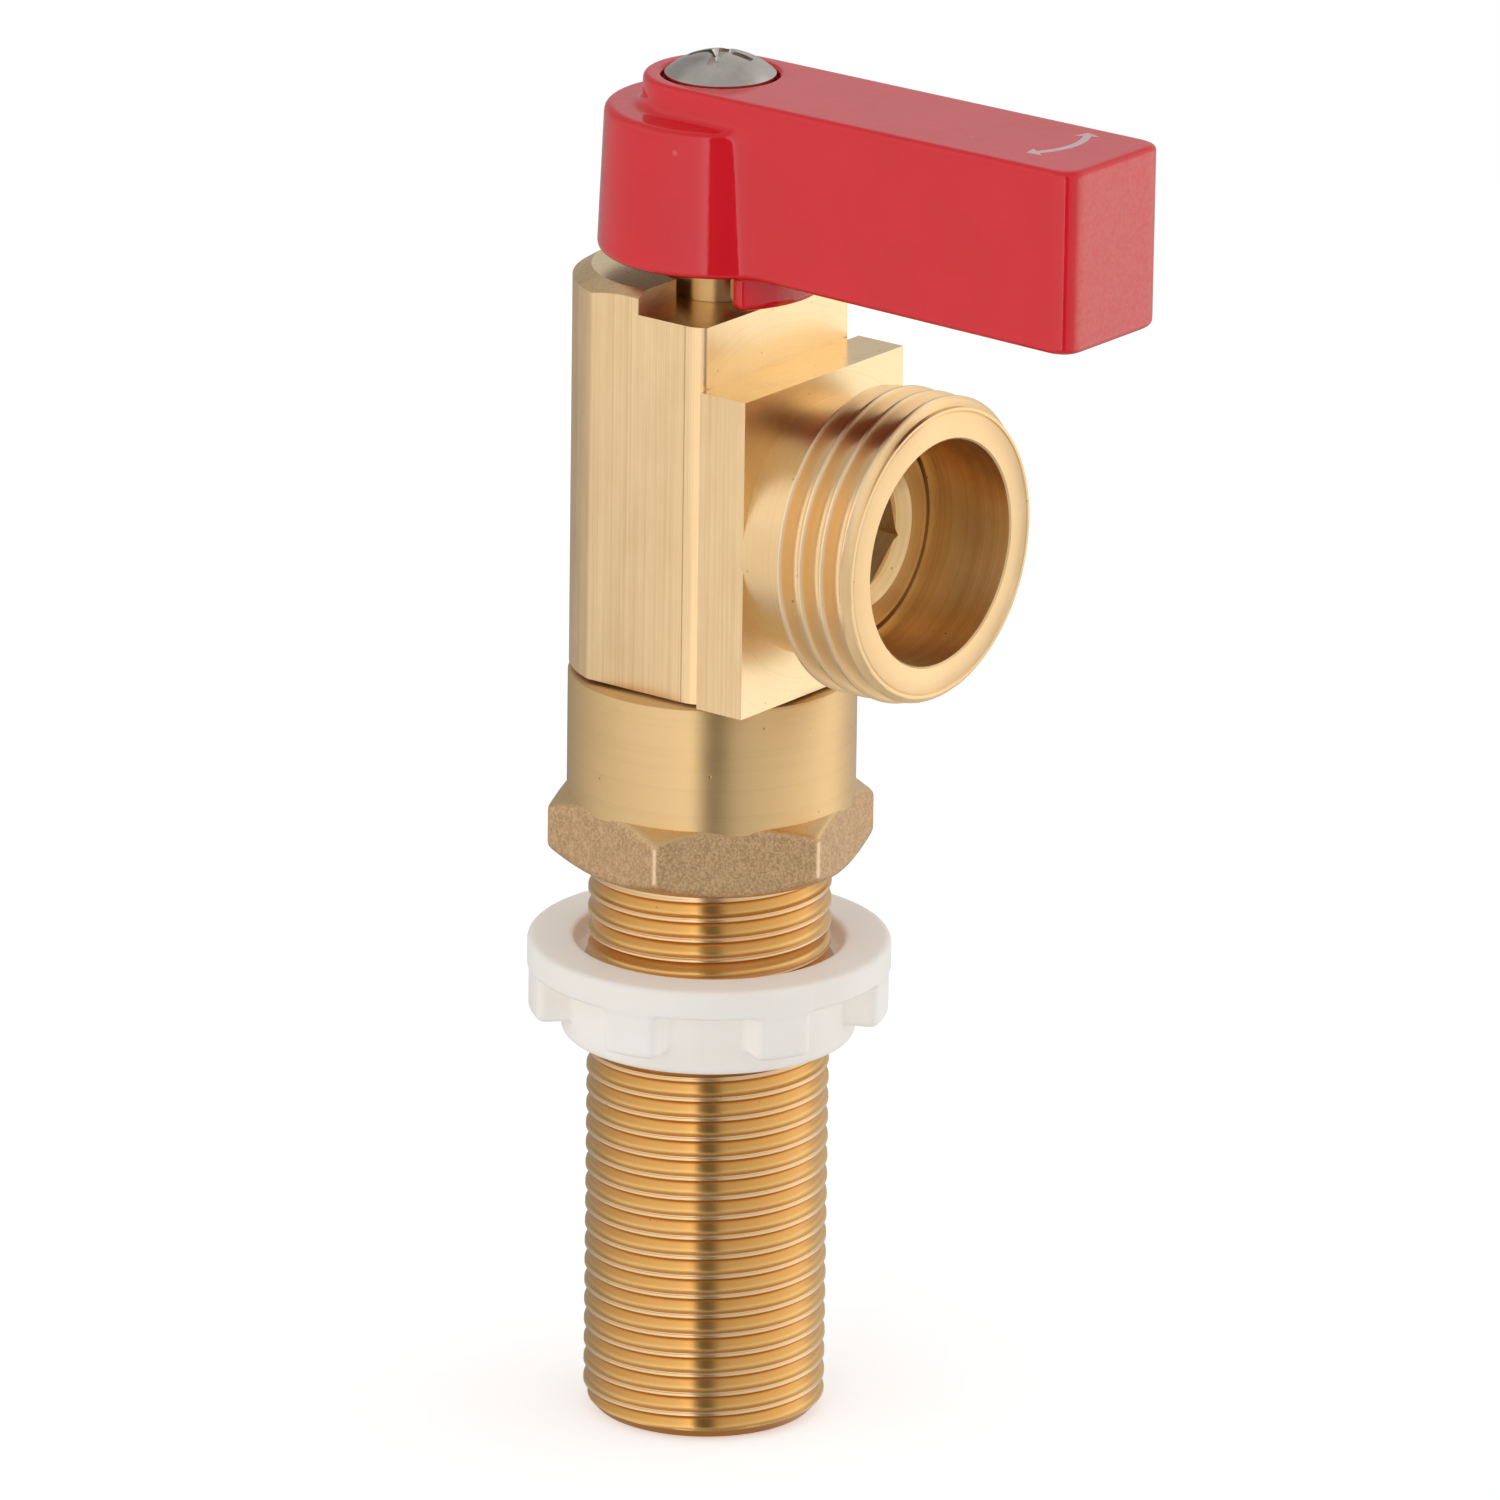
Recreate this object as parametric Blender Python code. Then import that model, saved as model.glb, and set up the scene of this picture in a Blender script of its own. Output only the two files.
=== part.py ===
"""Quarter-turn angle shutoff valve with a panel-mount shank and a hose-thread outlet.

Frame: metres, +Z up along the stem and the shank, origin at the centre of the shank's
open lower end, outlet along -Y. The lever rests at mid-travel, over the outlet.
Every size below is in millimetres.
"""
import math

import bmesh
import bpy
from mathutils import Matrix, Vector

MM = 0.001
GAP = 0.3                 # room left between pieces that touch or screw together
ROUND = 48                # sides of a large turned surface
FINE = 24                 # sides of a small turned surface
PAST = 1.0                # how far a cutting tool runs past the face it cuts
EDGE_BREAK = 0.4          # small bevel on turned edges
WIDE = 20.0               # half-width of a tool that clears the whole body
CORD_R = 0.5              # thickness of an O-ring's cord, as a radius
CORD_LIFT = 0.57          # cord centre above the bottom of its groove
MERGE = 1e-5              # points closer than this are one point

# inlet tailpiece: shank, hexagon and barrel in one piece
SHANK_R = 10.55
SHANK_END_R = 9.6
HEX_Z = 50.15
HEX_TOP_Z = 56.45
HEX_CORNER_R = 14.4
HEX_FACE_R = 11.7
HEX_TURN = 17.9           # degrees from +X to the first corner
HEX_CHAMFER = 30.0
BARREL_R = 12.5
BARREL_TOP_Z = 67.4
SPIGOT_R = 8.8
SPIGOT_TOP_Z = 71.6
TUBE_SOCKET_R = 8.0
TUBE_SOCKET_DEPTH = 13.0
PASSAGE_R = 6.4
RING_GROOVE_R = 7.9
RING_GROOVE_Z = 69.9
RING_GROOVE = 1.6

# locknut on the shank
NUT_TOP_Z = 43.0
NUT_FLANGE = 2.55
NUT_HEIGHT = 8.6
NUT_R = 15.8
NUT_HUB_R = 12.8
NUT_BORE_R = 10.85
NUT_MOUTH_R = 11.7
NUT_MOUTH_DEPTH = 2.0
NUT_EDGE = 0.6
NUT_LEAD = 0.8             # height of the cone below the mouth
LUG_ROOT = 0.8             # how far a lug starts inside the hub
LUG_INSET = 0.3            # lug end behind the flange edge
LUG_COUNT = 7
LUG_WIDTH = 5.1
LUG_BOTTOM_Z = 36.5
LUG_TURN = -168.7         # degrees from +X to the first lug

# valve body: an extruded bar, cut and turned
BODY_Z = BARREL_TOP_Z + GAP
BODY_HALF = 10.5
BODY_BACK_R = 11.2
BODY_BACK_Y = 1.55
BACK_STEPS = 20
CORNER_Y = -4.7           # where the flat side turns into the rounded front corner
CORNER_R = 2.85
CORNER_STEPS = 5
NECK_Y = -6.5             # front wall above the plate
NECK_HALF = 9.9
PLATE_HALF = 11.1
PLATE_BACK_Y = -6.8
PLATE_Y = -11.6
PLATE_TOP_Z = 95.85
FLOOR_Z = 101.2           # floor around the stem
SHOULDER_Z = 103.2        # raised back half that stops the lever
SHOULDER_Y = 0.4
SHOULDER_FLAT_R = 9.6
SHOULDER_SLOPE = 32.0
RECESS_R = 5.3
SOCKET_R = SPIGOT_R + GAP
SOCKET_TOP_Z = SPIGOT_TOP_Z + GAP

# outlet: 3/4 inch hose thread
OUTLET_Z = 81.92
OUTLET_Y = -24.24
THREAD_R = 13.46
THREAD_START_Y = -16.1
THREAD_END_R = 12.6
THREAD_CHAMFER = 0.65
COLLAR_R = 11.2
MOUTH_R = 9.86
POCKET_Y = -16.0
POCKET_R = 9.35
CAVITY_R = 8.05
CAVITY_FRONT_Y = -10.8
CAVITY_BACK_Y = 9.0

# ball, seats and their retainer
BALL_R = 7.6
BALL_REST_TURN = -135.0   # degrees from +X to the side port at mid-travel
PORT_R = 4.2
SLOT_WIDTH = 3.5
SLOT_Z = 87.1
SEAT_R = 7.8
SEAT_BORE_R = 4.6
SEAT_LIP_R = 6.2
SEAT_END_Y = -10.8
RETAINER_RIM_Y = -16.1
RETAINER_FACE_Y = -15.3
RETAINER_BACK_Y = -11.1
RETAINER_R = 9.05
RETAINER_EDGE = 0.3
RETAINER_FACE_R = 5.5
RETAINER_CONE_R = 6.7     # outer edge of the cone that leads into the socket
RETAINER_HEX = 10.0       # across flats
RETAINER_TURN = 15.0      # degrees from +X down to a corner, seen from the front

# stem and its seals
STEM_R = 4.0
STEM_FLANGE_R = 5.2
STEM_FLANGE_Z = 90.0
STEM_FLANGE_TOP_Z = 91.3
WASHER_TOP_Z = 92.4
STEM_BORE_R = 4.15
FLANGE_BORE_R = 5.5
GLAND_TOP_Z = WASHER_TOP_Z + GAP
SEAL_GROOVES = {"stem_o_ring_lower": 94.9, "stem_o_ring_upper": 98.2}
SEAL_GROOVE_R = 3.0
SEAL_GROOVE = 1.5
TANG_WIDTH = 2.9
TANG_Z = 87.4
SQUARE = 5.8
SQUARE_Z = 105.5
STEM_TOP_Z = 117.1

# lever
HANDLE_Z = 104.93
HUB_TOP_Z = 117.7
HUB_R = 10.5
HUB_TOP_R = 9.85
ARM_HALF = 6.6
ARM_TIP_Y = -41.8
ARM_TOP_Z = 120.42
ARM_EDGE = 0.9
ARM_CORNER = 1.1
TAB_Z = 101.8
TAB_INNER_R = 5.9
TAB_OUTER_R = 9.35
TAB_HALF_ANGLE = 44.0
WEB_Z = 117.4
HEAD_SEAT_Z = 119.0
HEAD_RECESS_R = 5.05

# screw
SCREW_HEAD_R = 4.78
SCREW_RIM = 1.3
SCREW_DOME = 1.9
SCREW_R = 2.0
SCREW_HOLE_R = 2.3
SCREW_END_Z = 108.0
CROSS_WIDTH = 1.1
CROSS_LENGTH = 5.6
SCREW_TURN = 20.0


# ---------------------------------------------------------------- building tools

def clear_scene():
    for obj in list(bpy.data.objects):
        bpy.data.objects.remove(obj, do_unlink=True)


def material(name, color, metallic, roughness):
    mat = bpy.data.materials.new(name)
    mat.use_nodes = True
    shader = mat.node_tree.nodes["Principled BSDF"]
    shader.inputs["Base Color"].default_value = (*color, 1.0)
    shader.inputs["Metallic"].default_value = metallic
    shader.inputs["Roughness"].default_value = roughness
    return mat


def make_object(name, bm, mat=None, matrix=None):
    """Turn a bmesh in millimetres into an object, with its faces pointing out."""
    if matrix is not None:
        bmesh.ops.transform(bm, matrix=matrix, verts=bm.verts)
    bmesh.ops.scale(bm, vec=(MM, MM, MM), verts=bm.verts)
    bmesh.ops.recalc_face_normals(bm, faces=bm.faces)
    mesh = bpy.data.meshes.new(name)
    bm.to_mesh(mesh)
    bm.free()
    mesh.shade_smooth()
    mesh.set_sharp_from_angle(angle=math.radians(30))
    obj = bpy.data.objects.new(name, mesh)
    bpy.context.collection.objects.link(obj)
    if mat is not None:
        obj.data.materials.append(mat)
    return obj


def turned(profile, sides=ROUND):
    """Solid of revolution about Z; the outline is a closed list of (radius, height)."""
    bm = bmesh.new()
    verts = [bm.verts.new((radius, 0.0, height)) for radius, height in profile]
    edges = []
    for i, vert in enumerate(verts):
        if profile[i - 1][0] > 0 or profile[i][0] > 0:
            edges.append(bm.edges.new((verts[i - 1], vert)))
    bmesh.ops.spin(bm, geom=verts + edges, axis=(0, 0, 1), cent=(0, 0, 0),
                   angle=2 * math.pi, steps=sides, use_merge=True)
    bmesh.ops.remove_doubles(bm, verts=bm.verts, dist=MERGE)
    bmesh.ops.dissolve_degenerate(bm, edges=bm.edges, dist=MERGE)
    return bm


def extruded(outline, low, high):
    """Prism between two heights from a closed outline of (x, y) points."""
    bm = bmesh.new()
    face = bm.faces.new([bm.verts.new((x, y, low)) for x, y in outline])
    grown = bmesh.ops.extrude_face_region(bm, geom=[face])
    top = [item for item in grown["geom"] if isinstance(item, bmesh.types.BMVert)]
    bmesh.ops.translate(bm, verts=top, vec=(0, 0, high - low))
    return bm


def box(low, high):
    bm = bmesh.new()
    bmesh.ops.create_cube(bm, size=1.0)
    size = Vector(high) - Vector(low)
    bmesh.ops.scale(bm, vec=size, verts=bm.verts)
    bmesh.ops.translate(bm, verts=bm.verts, vec=(Vector(high) + Vector(low)) / 2)
    return bm


def cylinder(radius, low, high, sides=ROUND):
    return turned([(0, low), (radius, low), (radius, high), (0, high)], sides)


def ring(inner, outer, low, high, sides=ROUND):
    return turned([(inner, low), (outer, low), (outer, high), (inner, high)], sides)


def arc(centre, radius, start, end, steps):
    """Points on a circle between two angles in degrees, both ends included."""
    angles = [math.radians(start + (end - start) * i / steps) for i in range(steps + 1)]
    return [(centre[0] + radius * math.cos(a), centre[1] + radius * math.sin(a))
            for a in angles]


def hexagon(corner_radius, turn):
    return arc((0, 0), corner_radius, turn, turn + 300, 5)


def along_outlet():
    """Places a piece turned about Z on the outlet's axis, its height becoming Y."""
    return Matrix.Translation((0, 0, OUTLET_Z)) @ Matrix.Rotation(math.radians(-90), 4, "X")


def tool_object(name, bm, matrix=None):
    """A shape that only cuts or adds to another, hidden from view."""
    tool = make_object(name, bm, matrix=matrix)
    tool.hide_render = True
    tool.display_type = "WIRE"
    return tool


def off_seam(degrees=2.0):
    """A small turn about Z, so that crossing facets don't line up edge on edge."""
    return Matrix.Rotation(math.radians(degrees), 4, "Z")


def combine(target, tool, operation="DIFFERENCE"):
    modifier = target.modifiers.new(tool.name, "BOOLEAN")
    modifier.operation = operation
    modifier.solver = "EXACT"
    modifier.object = tool


# ---------------------------------------------------------------- sub-parts

def build_tailpiece(mat):
    """Threaded shank, panel hexagon, barrel, and the spigot that enters the body."""
    groove_low = RING_GROOVE_Z - RING_GROOVE / 2
    groove_high = RING_GROOVE_Z + RING_GROOVE / 2
    profile = [
        (TUBE_SOCKET_R, 0), (SHANK_END_R, 0), (SHANK_R, SHANK_R - SHANK_END_R),
        (SHANK_R, HEX_Z + PAST), (BARREL_R, HEX_Z + PAST), (BARREL_R, BARREL_TOP_Z - EDGE_BREAK),
        (BARREL_R - EDGE_BREAK, BARREL_TOP_Z), (SPIGOT_R, BARREL_TOP_Z),
        (SPIGOT_R, groove_low), (RING_GROOVE_R, groove_low),
        (RING_GROOVE_R, groove_high), (SPIGOT_R, groove_high),
        (SPIGOT_R, SPIGOT_TOP_Z), (PASSAGE_R, SPIGOT_TOP_Z),
        (PASSAGE_R, TUBE_SOCKET_DEPTH), (TUBE_SOCKET_R, TUBE_SOCKET_DEPTH)]
    tailpiece = make_object("inlet_tailpiece", turned(profile), mat)
    combine(tailpiece, hexagon_tool(), "UNION")
    return tailpiece


def hexagon_tool():
    """Hexagonal collar, its corners turned off at both ends, with a clear middle."""
    prism = extruded(hexagon(HEX_CORNER_R, HEX_TURN), HEX_Z, HEX_TOP_Z)
    collar = tool_object("tool_hexagon", prism)
    drop = (HEX_CORNER_R + PAST - HEX_FACE_R) * math.tan(math.radians(HEX_CHAMFER))
    middle_r = SHANK_R - PAST
    outline = [
        (middle_r, HEX_Z - PAST), (HEX_FACE_R, HEX_Z - PAST), (HEX_FACE_R, HEX_Z),
        (HEX_CORNER_R + PAST, HEX_Z + drop), (HEX_CORNER_R + PAST, HEX_TOP_Z - drop),
        (BARREL_R, HEX_TOP_Z), (BARREL_R, HEX_TOP_Z + 1), (middle_r, HEX_TOP_Z + 1)]
    combine(collar, tool_object("tool_hexagon_corners", turned(outline)), "INTERSECT")
    return collar


def build_locknut(mat):
    """Plastic nut: a flange towards the panel over a hub with finger lugs."""
    bottom = NUT_TOP_Z - NUT_HEIGHT
    profile = [
        (NUT_BORE_R, bottom), (NUT_HUB_R - NUT_EDGE, bottom), (NUT_HUB_R, bottom + NUT_EDGE),
        (NUT_HUB_R, NUT_TOP_Z - NUT_FLANGE), (NUT_R, NUT_TOP_Z - NUT_FLANGE),
        (NUT_R, NUT_TOP_Z - NUT_EDGE), (NUT_R - NUT_EDGE, NUT_TOP_Z), (NUT_MOUTH_R, NUT_TOP_Z),
        (NUT_MOUTH_R, NUT_TOP_Z - NUT_MOUTH_DEPTH),
        (NUT_BORE_R, NUT_TOP_Z - NUT_MOUTH_DEPTH - NUT_LEAD)]
    nut = make_object("locknut", turned(profile), mat)
    for index in range(LUG_COUNT):
        lug = box((NUT_HUB_R - LUG_ROOT, -LUG_WIDTH / 2, LUG_BOTTOM_Z),
                  (NUT_R - LUG_INSET, LUG_WIDTH / 2, NUT_TOP_Z - NUT_FLANGE / 2))
        turn = Matrix.Rotation(math.radians(LUG_TURN + 360 * index / LUG_COUNT), 4, "Z")
        combine(nut, tool_object(f"tool_lug_{index}", lug, turn), "UNION")
    return nut


def body_outline():
    """Cross-section of the bar: round back, flat sides, rounded corners, neck, plate."""
    edge_y = BODY_BACK_Y + math.sqrt(BODY_BACK_R ** 2 - BODY_HALF ** 2)
    edge = math.degrees(math.asin((edge_y - BODY_BACK_Y) / BODY_BACK_R))
    back = arc((0, BODY_BACK_Y), BODY_BACK_R, edge, 180 - edge, BACK_STEPS)
    centre_x = BODY_HALF - CORNER_R
    reach = math.degrees(math.acos((NECK_HALF - centre_x) / CORNER_R))
    left = arc((-centre_x, CORNER_Y), CORNER_R, 180, 180 + reach, CORNER_STEPS)
    left += [(-NECK_HALF, PLATE_BACK_Y), (-PLATE_HALF, PLATE_BACK_Y), (-PLATE_HALF, PLATE_Y)]
    right = [(-x, y) for x, y in reversed(left)]
    return back + left + right


def build_body(mat):
    """Extruded bar with the outlet turned on its front and the bores cut through it."""
    body = make_object("valve_body", extruded(body_outline(), BODY_Z, SHOULDER_Z), mat)
    above_plate = box((-WIDE, -WIDE, PLATE_TOP_Z), (WIDE, NECK_Y, SHOULDER_Z + PAST))
    combine(body, tool_object("tool_above_plate", above_plate))
    combine(body, tool_object("tool_outlet", outlet_outside(), along_outlet()), "UNION")
    ledge = box((-WIDE, -WIDE, FLOOR_Z), (WIDE, SHOULDER_Y, SHOULDER_Z + PAST))
    combine(body, tool_object("tool_ledge", ledge))
    on_back = Matrix.Translation((0, BODY_BACK_Y, 0))
    combine(body, tool_object("tool_shoulder", shoulder_cone(), on_back))
    combine(body, tool_object("tool_stem_bore", stem_bore(), off_seam()))
    combine(body, tool_object("tool_socket", inlet_bore(), off_seam()))
    combine(body, tool_object("tool_cavity", cavity_inside(), along_outlet()))
    return body


def outlet_outside():
    """Collar and thread blank, turned about the outlet's axis."""
    return turned([
        (0, PLATE_Y + PAST), (COLLAR_R, PLATE_Y + PAST), (COLLAR_R, THREAD_START_Y),
        (THREAD_R, THREAD_START_Y - THREAD_CHAMFER), (THREAD_R, OUTLET_Y + THREAD_CHAMFER),
        (THREAD_END_R, OUTLET_Y), (0, OUTLET_Y)])


def shoulder_cone():
    """What the lathe takes off the top edge of the raised back half."""
    reach = BODY_BACK_R
    drop = reach * math.tan(math.radians(SHOULDER_SLOPE))
    return turned([
        (SHOULDER_FLAT_R, SHOULDER_Z), (SHOULDER_FLAT_R + reach, SHOULDER_Z - drop),
        (SHOULDER_FLAT_R + reach, SHOULDER_Z + PAST), (SHOULDER_FLAT_R, SHOULDER_Z + PAST)])


def cavity_inside():
    """Mouth, retainer pocket and ball cavity, all bored from the outlet."""
    return turned([
        (0, OUTLET_Y - 1), (MOUTH_R, OUTLET_Y - 1), (MOUTH_R, POCKET_Y),
        (POCKET_R, POCKET_Y), (POCKET_R, CAVITY_FRONT_Y), (CAVITY_R, CAVITY_FRONT_Y),
        (CAVITY_R, CAVITY_BACK_Y), (0, CAVITY_BACK_Y)])


def stem_bore():
    return turned([
        (0, OUTLET_Z), (FLANGE_BORE_R, OUTLET_Z), (FLANGE_BORE_R, GLAND_TOP_Z),
        (STEM_BORE_R, GLAND_TOP_Z), (STEM_BORE_R, FLOOR_Z), (RECESS_R, FLOOR_Z),
        (RECESS_R, SHOULDER_Z + 1), (0, SHOULDER_Z + 1)])


def inlet_bore():
    return turned([
        (0, BODY_Z - 1), (SOCKET_R, BODY_Z - 1), (SOCKET_R, SOCKET_TOP_Z),
        (PASSAGE_R, SOCKET_TOP_Z), (PASSAGE_R, OUTLET_Z - 2 * PAST), (0, OUTLET_Z - 2 * PAST)])


def build_ball(mat):
    """Ball with an elbow port: open below, and to one side a quarter turn apart."""
    bm = bmesh.new()
    bmesh.ops.create_uvsphere(bm, u_segments=FINE, v_segments=FINE // 2, radius=BALL_R)
    place = Matrix.Translation((0, 0, OUTLET_Z))
    ball = make_object("ball", bm, mat)
    ball.location = (0, 0, OUTLET_Z * MM)
    facing = place @ Matrix.Rotation(math.radians(BALL_REST_TURN), 4, "Z")
    down = cylinder(PORT_R, -BALL_R - 1, 0, FINE)
    side = cylinder(PORT_R, -BALL_R - 1, 0, FINE)
    elbow = bmesh.new()
    bmesh.ops.create_uvsphere(elbow, u_segments=FINE, v_segments=FINE // 2, radius=PORT_R + 0.02)
    slot_depth = SLOT_Z - OUTLET_Z
    slot = box((-BALL_R - PAST, -SLOT_WIDTH / 2, slot_depth),
               (BALL_R + PAST, SLOT_WIDTH / 2, BALL_R + PAST))
    combine(ball, tool_object("tool_port_down", down, place @ off_seam()))
    sideways = facing @ Matrix.Rotation(math.radians(-90), 4, "Y") @ off_seam(3)
    combine(ball, tool_object("tool_port_side", side, sideways))
    tilt = Matrix.Rotation(math.radians(7), 4, "X") @ off_seam(5)
    combine(ball, tool_object("tool_port_elbow", elbow, place @ tilt))
    combine(ball, tool_object("tool_slot", slot, facing))
    return ball


def build_seats(mat):
    """Two plastic rings with a hollow face that fits the ball, one on each side."""
    contact_r = BALL_R + GAP
    start = math.degrees(math.acos(SEAT_LIP_R / contact_r))
    end = math.degrees(math.acos(SEAT_BORE_R / contact_r))
    hollow = arc((0, 0), contact_r, start, end, 3)
    hollow = [(radius, -height) for radius, height in hollow]
    lip_y = hollow[0][1]
    outline = [(SEAT_BORE_R, SEAT_END_Y), (SEAT_R, SEAT_END_Y), (SEAT_R, lip_y)] + hollow
    front = make_object("outlet_seat", turned(outline, FINE), mat, along_outlet())
    depth = CAVITY_BACK_Y - GAP
    mirrored = [(SEAT_BORE_R, depth), (SEAT_R, depth), (SEAT_R, -lip_y)]
    mirrored += [(radius, -height) for radius, height in hollow]
    rear = make_object("rear_seat", turned(mirrored, FINE), mat, along_outlet())
    return front, rear


def build_retainer(mat):
    """Threaded ring that holds the seats, with a dished face and a hexagon socket."""
    profile = [
        (0, RETAINER_FACE_Y), (RETAINER_FACE_R, RETAINER_FACE_Y), (RETAINER_CONE_R, RETAINER_RIM_Y),
        (RETAINER_R - RETAINER_EDGE, RETAINER_RIM_Y),
        (RETAINER_R, RETAINER_RIM_Y + RETAINER_EDGE),
        (RETAINER_R, RETAINER_BACK_Y), (0, RETAINER_BACK_Y)]
    retainer = make_object("seat_retainer", turned(profile), mat, along_outlet())
    corner = RETAINER_HEX / 2 / math.cos(math.radians(30))
    socket = extruded(hexagon(corner, RETAINER_TURN), RETAINER_RIM_Y - PAST, RETAINER_BACK_Y + PAST)
    combine(retainer, tool_object("tool_retainer_socket", socket, along_outlet()))
    return retainer


def build_stem(mat):
    """Stem: tang in the ball, flange below the gland, two seal grooves, square top."""
    profile = [(0, STEM_FLANGE_Z), (STEM_FLANGE_R, STEM_FLANGE_Z),
               (STEM_FLANGE_R, STEM_FLANGE_TOP_Z), (STEM_R, STEM_FLANGE_TOP_Z)]
    for middle in SEAL_GROOVES.values():
        low = middle - SEAL_GROOVE / 2
        high = middle + SEAL_GROOVE / 2
        profile += [(STEM_R, low), (SEAL_GROOVE_R, low), (SEAL_GROOVE_R, high), (STEM_R, high)]
    profile += [(STEM_R, STEM_TOP_Z), (0, STEM_TOP_Z)]
    stem = make_object("stem", turned(profile, FINE), mat)
    facing = Matrix.Rotation(math.radians(BALL_REST_TURN), 4, "Z")
    reach = STEM_FLANGE_R - 0.6
    tang = box((-reach, -TANG_WIDTH / 2, TANG_Z), (reach, TANG_WIDTH / 2, STEM_FLANGE_Z + GAP))
    combine(stem, tool_object("tool_tang", tang, facing), "UNION")
    half = SQUARE / 2
    for side in range(4):
        flat = box((half, -SQUARE, SQUARE_Z), (half + STEM_R, SQUARE, STEM_TOP_Z + PAST))
        turn = Matrix.Rotation(math.radians(90 * side), 4, "Z")
        combine(stem, tool_object(f"tool_square_{side}", flat, turn))
    hole = cylinder(SCREW_HOLE_R, SCREW_END_Z - 1, STEM_TOP_Z + 1, FINE)
    combine(stem, tool_object("tool_screw_hole", hole))
    return stem


def build_rings(washer_mat, rubber):
    """Thrust washer above the stem's flange, and the rubber rings in their grooves."""
    washer = ring(STEM_R + GAP / 2, STEM_FLANGE_R, STEM_FLANGE_TOP_Z + GAP / 2, WASHER_TOP_Z, FINE)
    make_object("stem_thrust_washer", washer, washer_mat)
    for name, middle in SEAL_GROOVES.items():
        build_o_ring(name, SEAL_GROOVE_R + CORD_LIFT, CORD_R, middle, FINE, rubber)
    build_o_ring("tailpiece_o_ring", RING_GROOVE_R + CORD_LIFT, CORD_R, RING_GROOVE_Z, ROUND, rubber)


def build_o_ring(name, middle_r, cord_r, height, sides, mat):
    section = arc((middle_r, height), cord_r, 0, 315, 7)
    return make_object(name, turned(section, sides), mat)


def build_handle(mat):
    """Lever: round hub over the stem, raised arm over the outlet, stop tab below."""
    hub = turned([(0, HANDLE_Z), (HUB_R - EDGE_BREAK, HANDLE_Z), (HUB_R, HANDLE_Z + EDGE_BREAK),
                  (HUB_TOP_R, HUB_TOP_Z - ARM_EDGE), (HUB_TOP_R - ARM_EDGE, HUB_TOP_Z), (0, HUB_TOP_Z)])
    handle = make_object("handle", hub, mat)
    tip_x = ARM_HALF - ARM_CORNER
    outline = arc((0, 0), ARM_HALF, 0, 180, 16)
    outline += arc((-tip_x, ARM_TIP_Y + ARM_CORNER), ARM_CORNER, 180, 270, 4)
    outline += arc((tip_x, ARM_TIP_Y + ARM_CORNER), ARM_CORNER, 270, 360, 4)
    arm = tool_object("tool_arm", extruded(outline, HANDLE_Z, ARM_TOP_Z))
    edge = arm.modifiers.new("edges", "BEVEL")
    edge.width = ARM_EDGE * MM
    edge.segments = 3
    edge.limit_method = "ANGLE"
    edge.angle_limit = math.radians(60)
    combine(handle, arm, "UNION")
    combine(handle, tool_object("tool_tab", stop_tab()), "UNION")
    combine(handle, tool_object("tool_handle_bore", handle_bore()))
    half = SQUARE / 2 + GAP
    square = box((-half, -half, SQUARE_Z), (half, half, WEB_Z))
    combine(handle, tool_object("tool_handle_square", square))
    return handle


def stop_tab():
    """Arc-shaped wall below the lever that meets the shoulder at either end of travel."""
    first = -90 - TAB_HALF_ANGLE
    last = -90 + TAB_HALF_ANGLE
    outline = arc((0, 0), TAB_OUTER_R, first, last, 16)
    outline += arc((0, 0), TAB_INNER_R, last, first, 16)
    return extruded(outline, TAB_Z, HANDLE_Z + 1)


def handle_bore():
    """Clearance for the stem's round neck below, the screw, and the screw's head above."""
    neck_r = STEM_R + GAP
    neck_top = SQUARE_Z + GAP
    return turned([
        (0, HANDLE_Z - 1), (neck_r, HANDLE_Z - 1), (neck_r, neck_top), (SCREW_HOLE_R, neck_top),
        (SCREW_HOLE_R, HEAD_SEAT_Z), (HEAD_RECESS_R, HEAD_SEAT_Z),
        (HEAD_RECESS_R, ARM_TOP_Z + PAST), (0, ARM_TOP_Z + PAST)])


def build_screw(mat):
    """Pan-head screw with a cross recess."""
    base = HEAD_SEAT_Z + GAP / 2
    rim = base + SCREW_RIM
    dome_r = (SCREW_HEAD_R ** 2 + SCREW_DOME ** 2) / (2 * SCREW_DOME)
    opening = math.degrees(math.asin(SCREW_HEAD_R / dome_r))
    dome = arc((0, rim + SCREW_DOME - dome_r), dome_r, 90 - opening, 90, 8)
    profile = [(0, SCREW_END_Z), (SCREW_R - EDGE_BREAK, SCREW_END_Z), (SCREW_R, SCREW_END_Z + EDGE_BREAK),
               (SCREW_R, base), (SCREW_HEAD_R, base)] + dome[:-1] + [(0, rim + SCREW_DOME)]
    screw = make_object("handle_screw", turned(profile, FINE), mat)
    deep = rim - 0.3
    for index in range(2):
        bar = box((-CROSS_LENGTH / 2, -CROSS_WIDTH / 2, deep),
                  (CROSS_LENGTH / 2, CROSS_WIDTH / 2, rim + SCREW_DOME + PAST))
        turn = Matrix.Rotation(math.radians(SCREW_TURN + 90 * index), 4, "Z")
        combine(screw, tool_object(f"tool_cross_{index}", bar, turn))
    return screw


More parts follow.
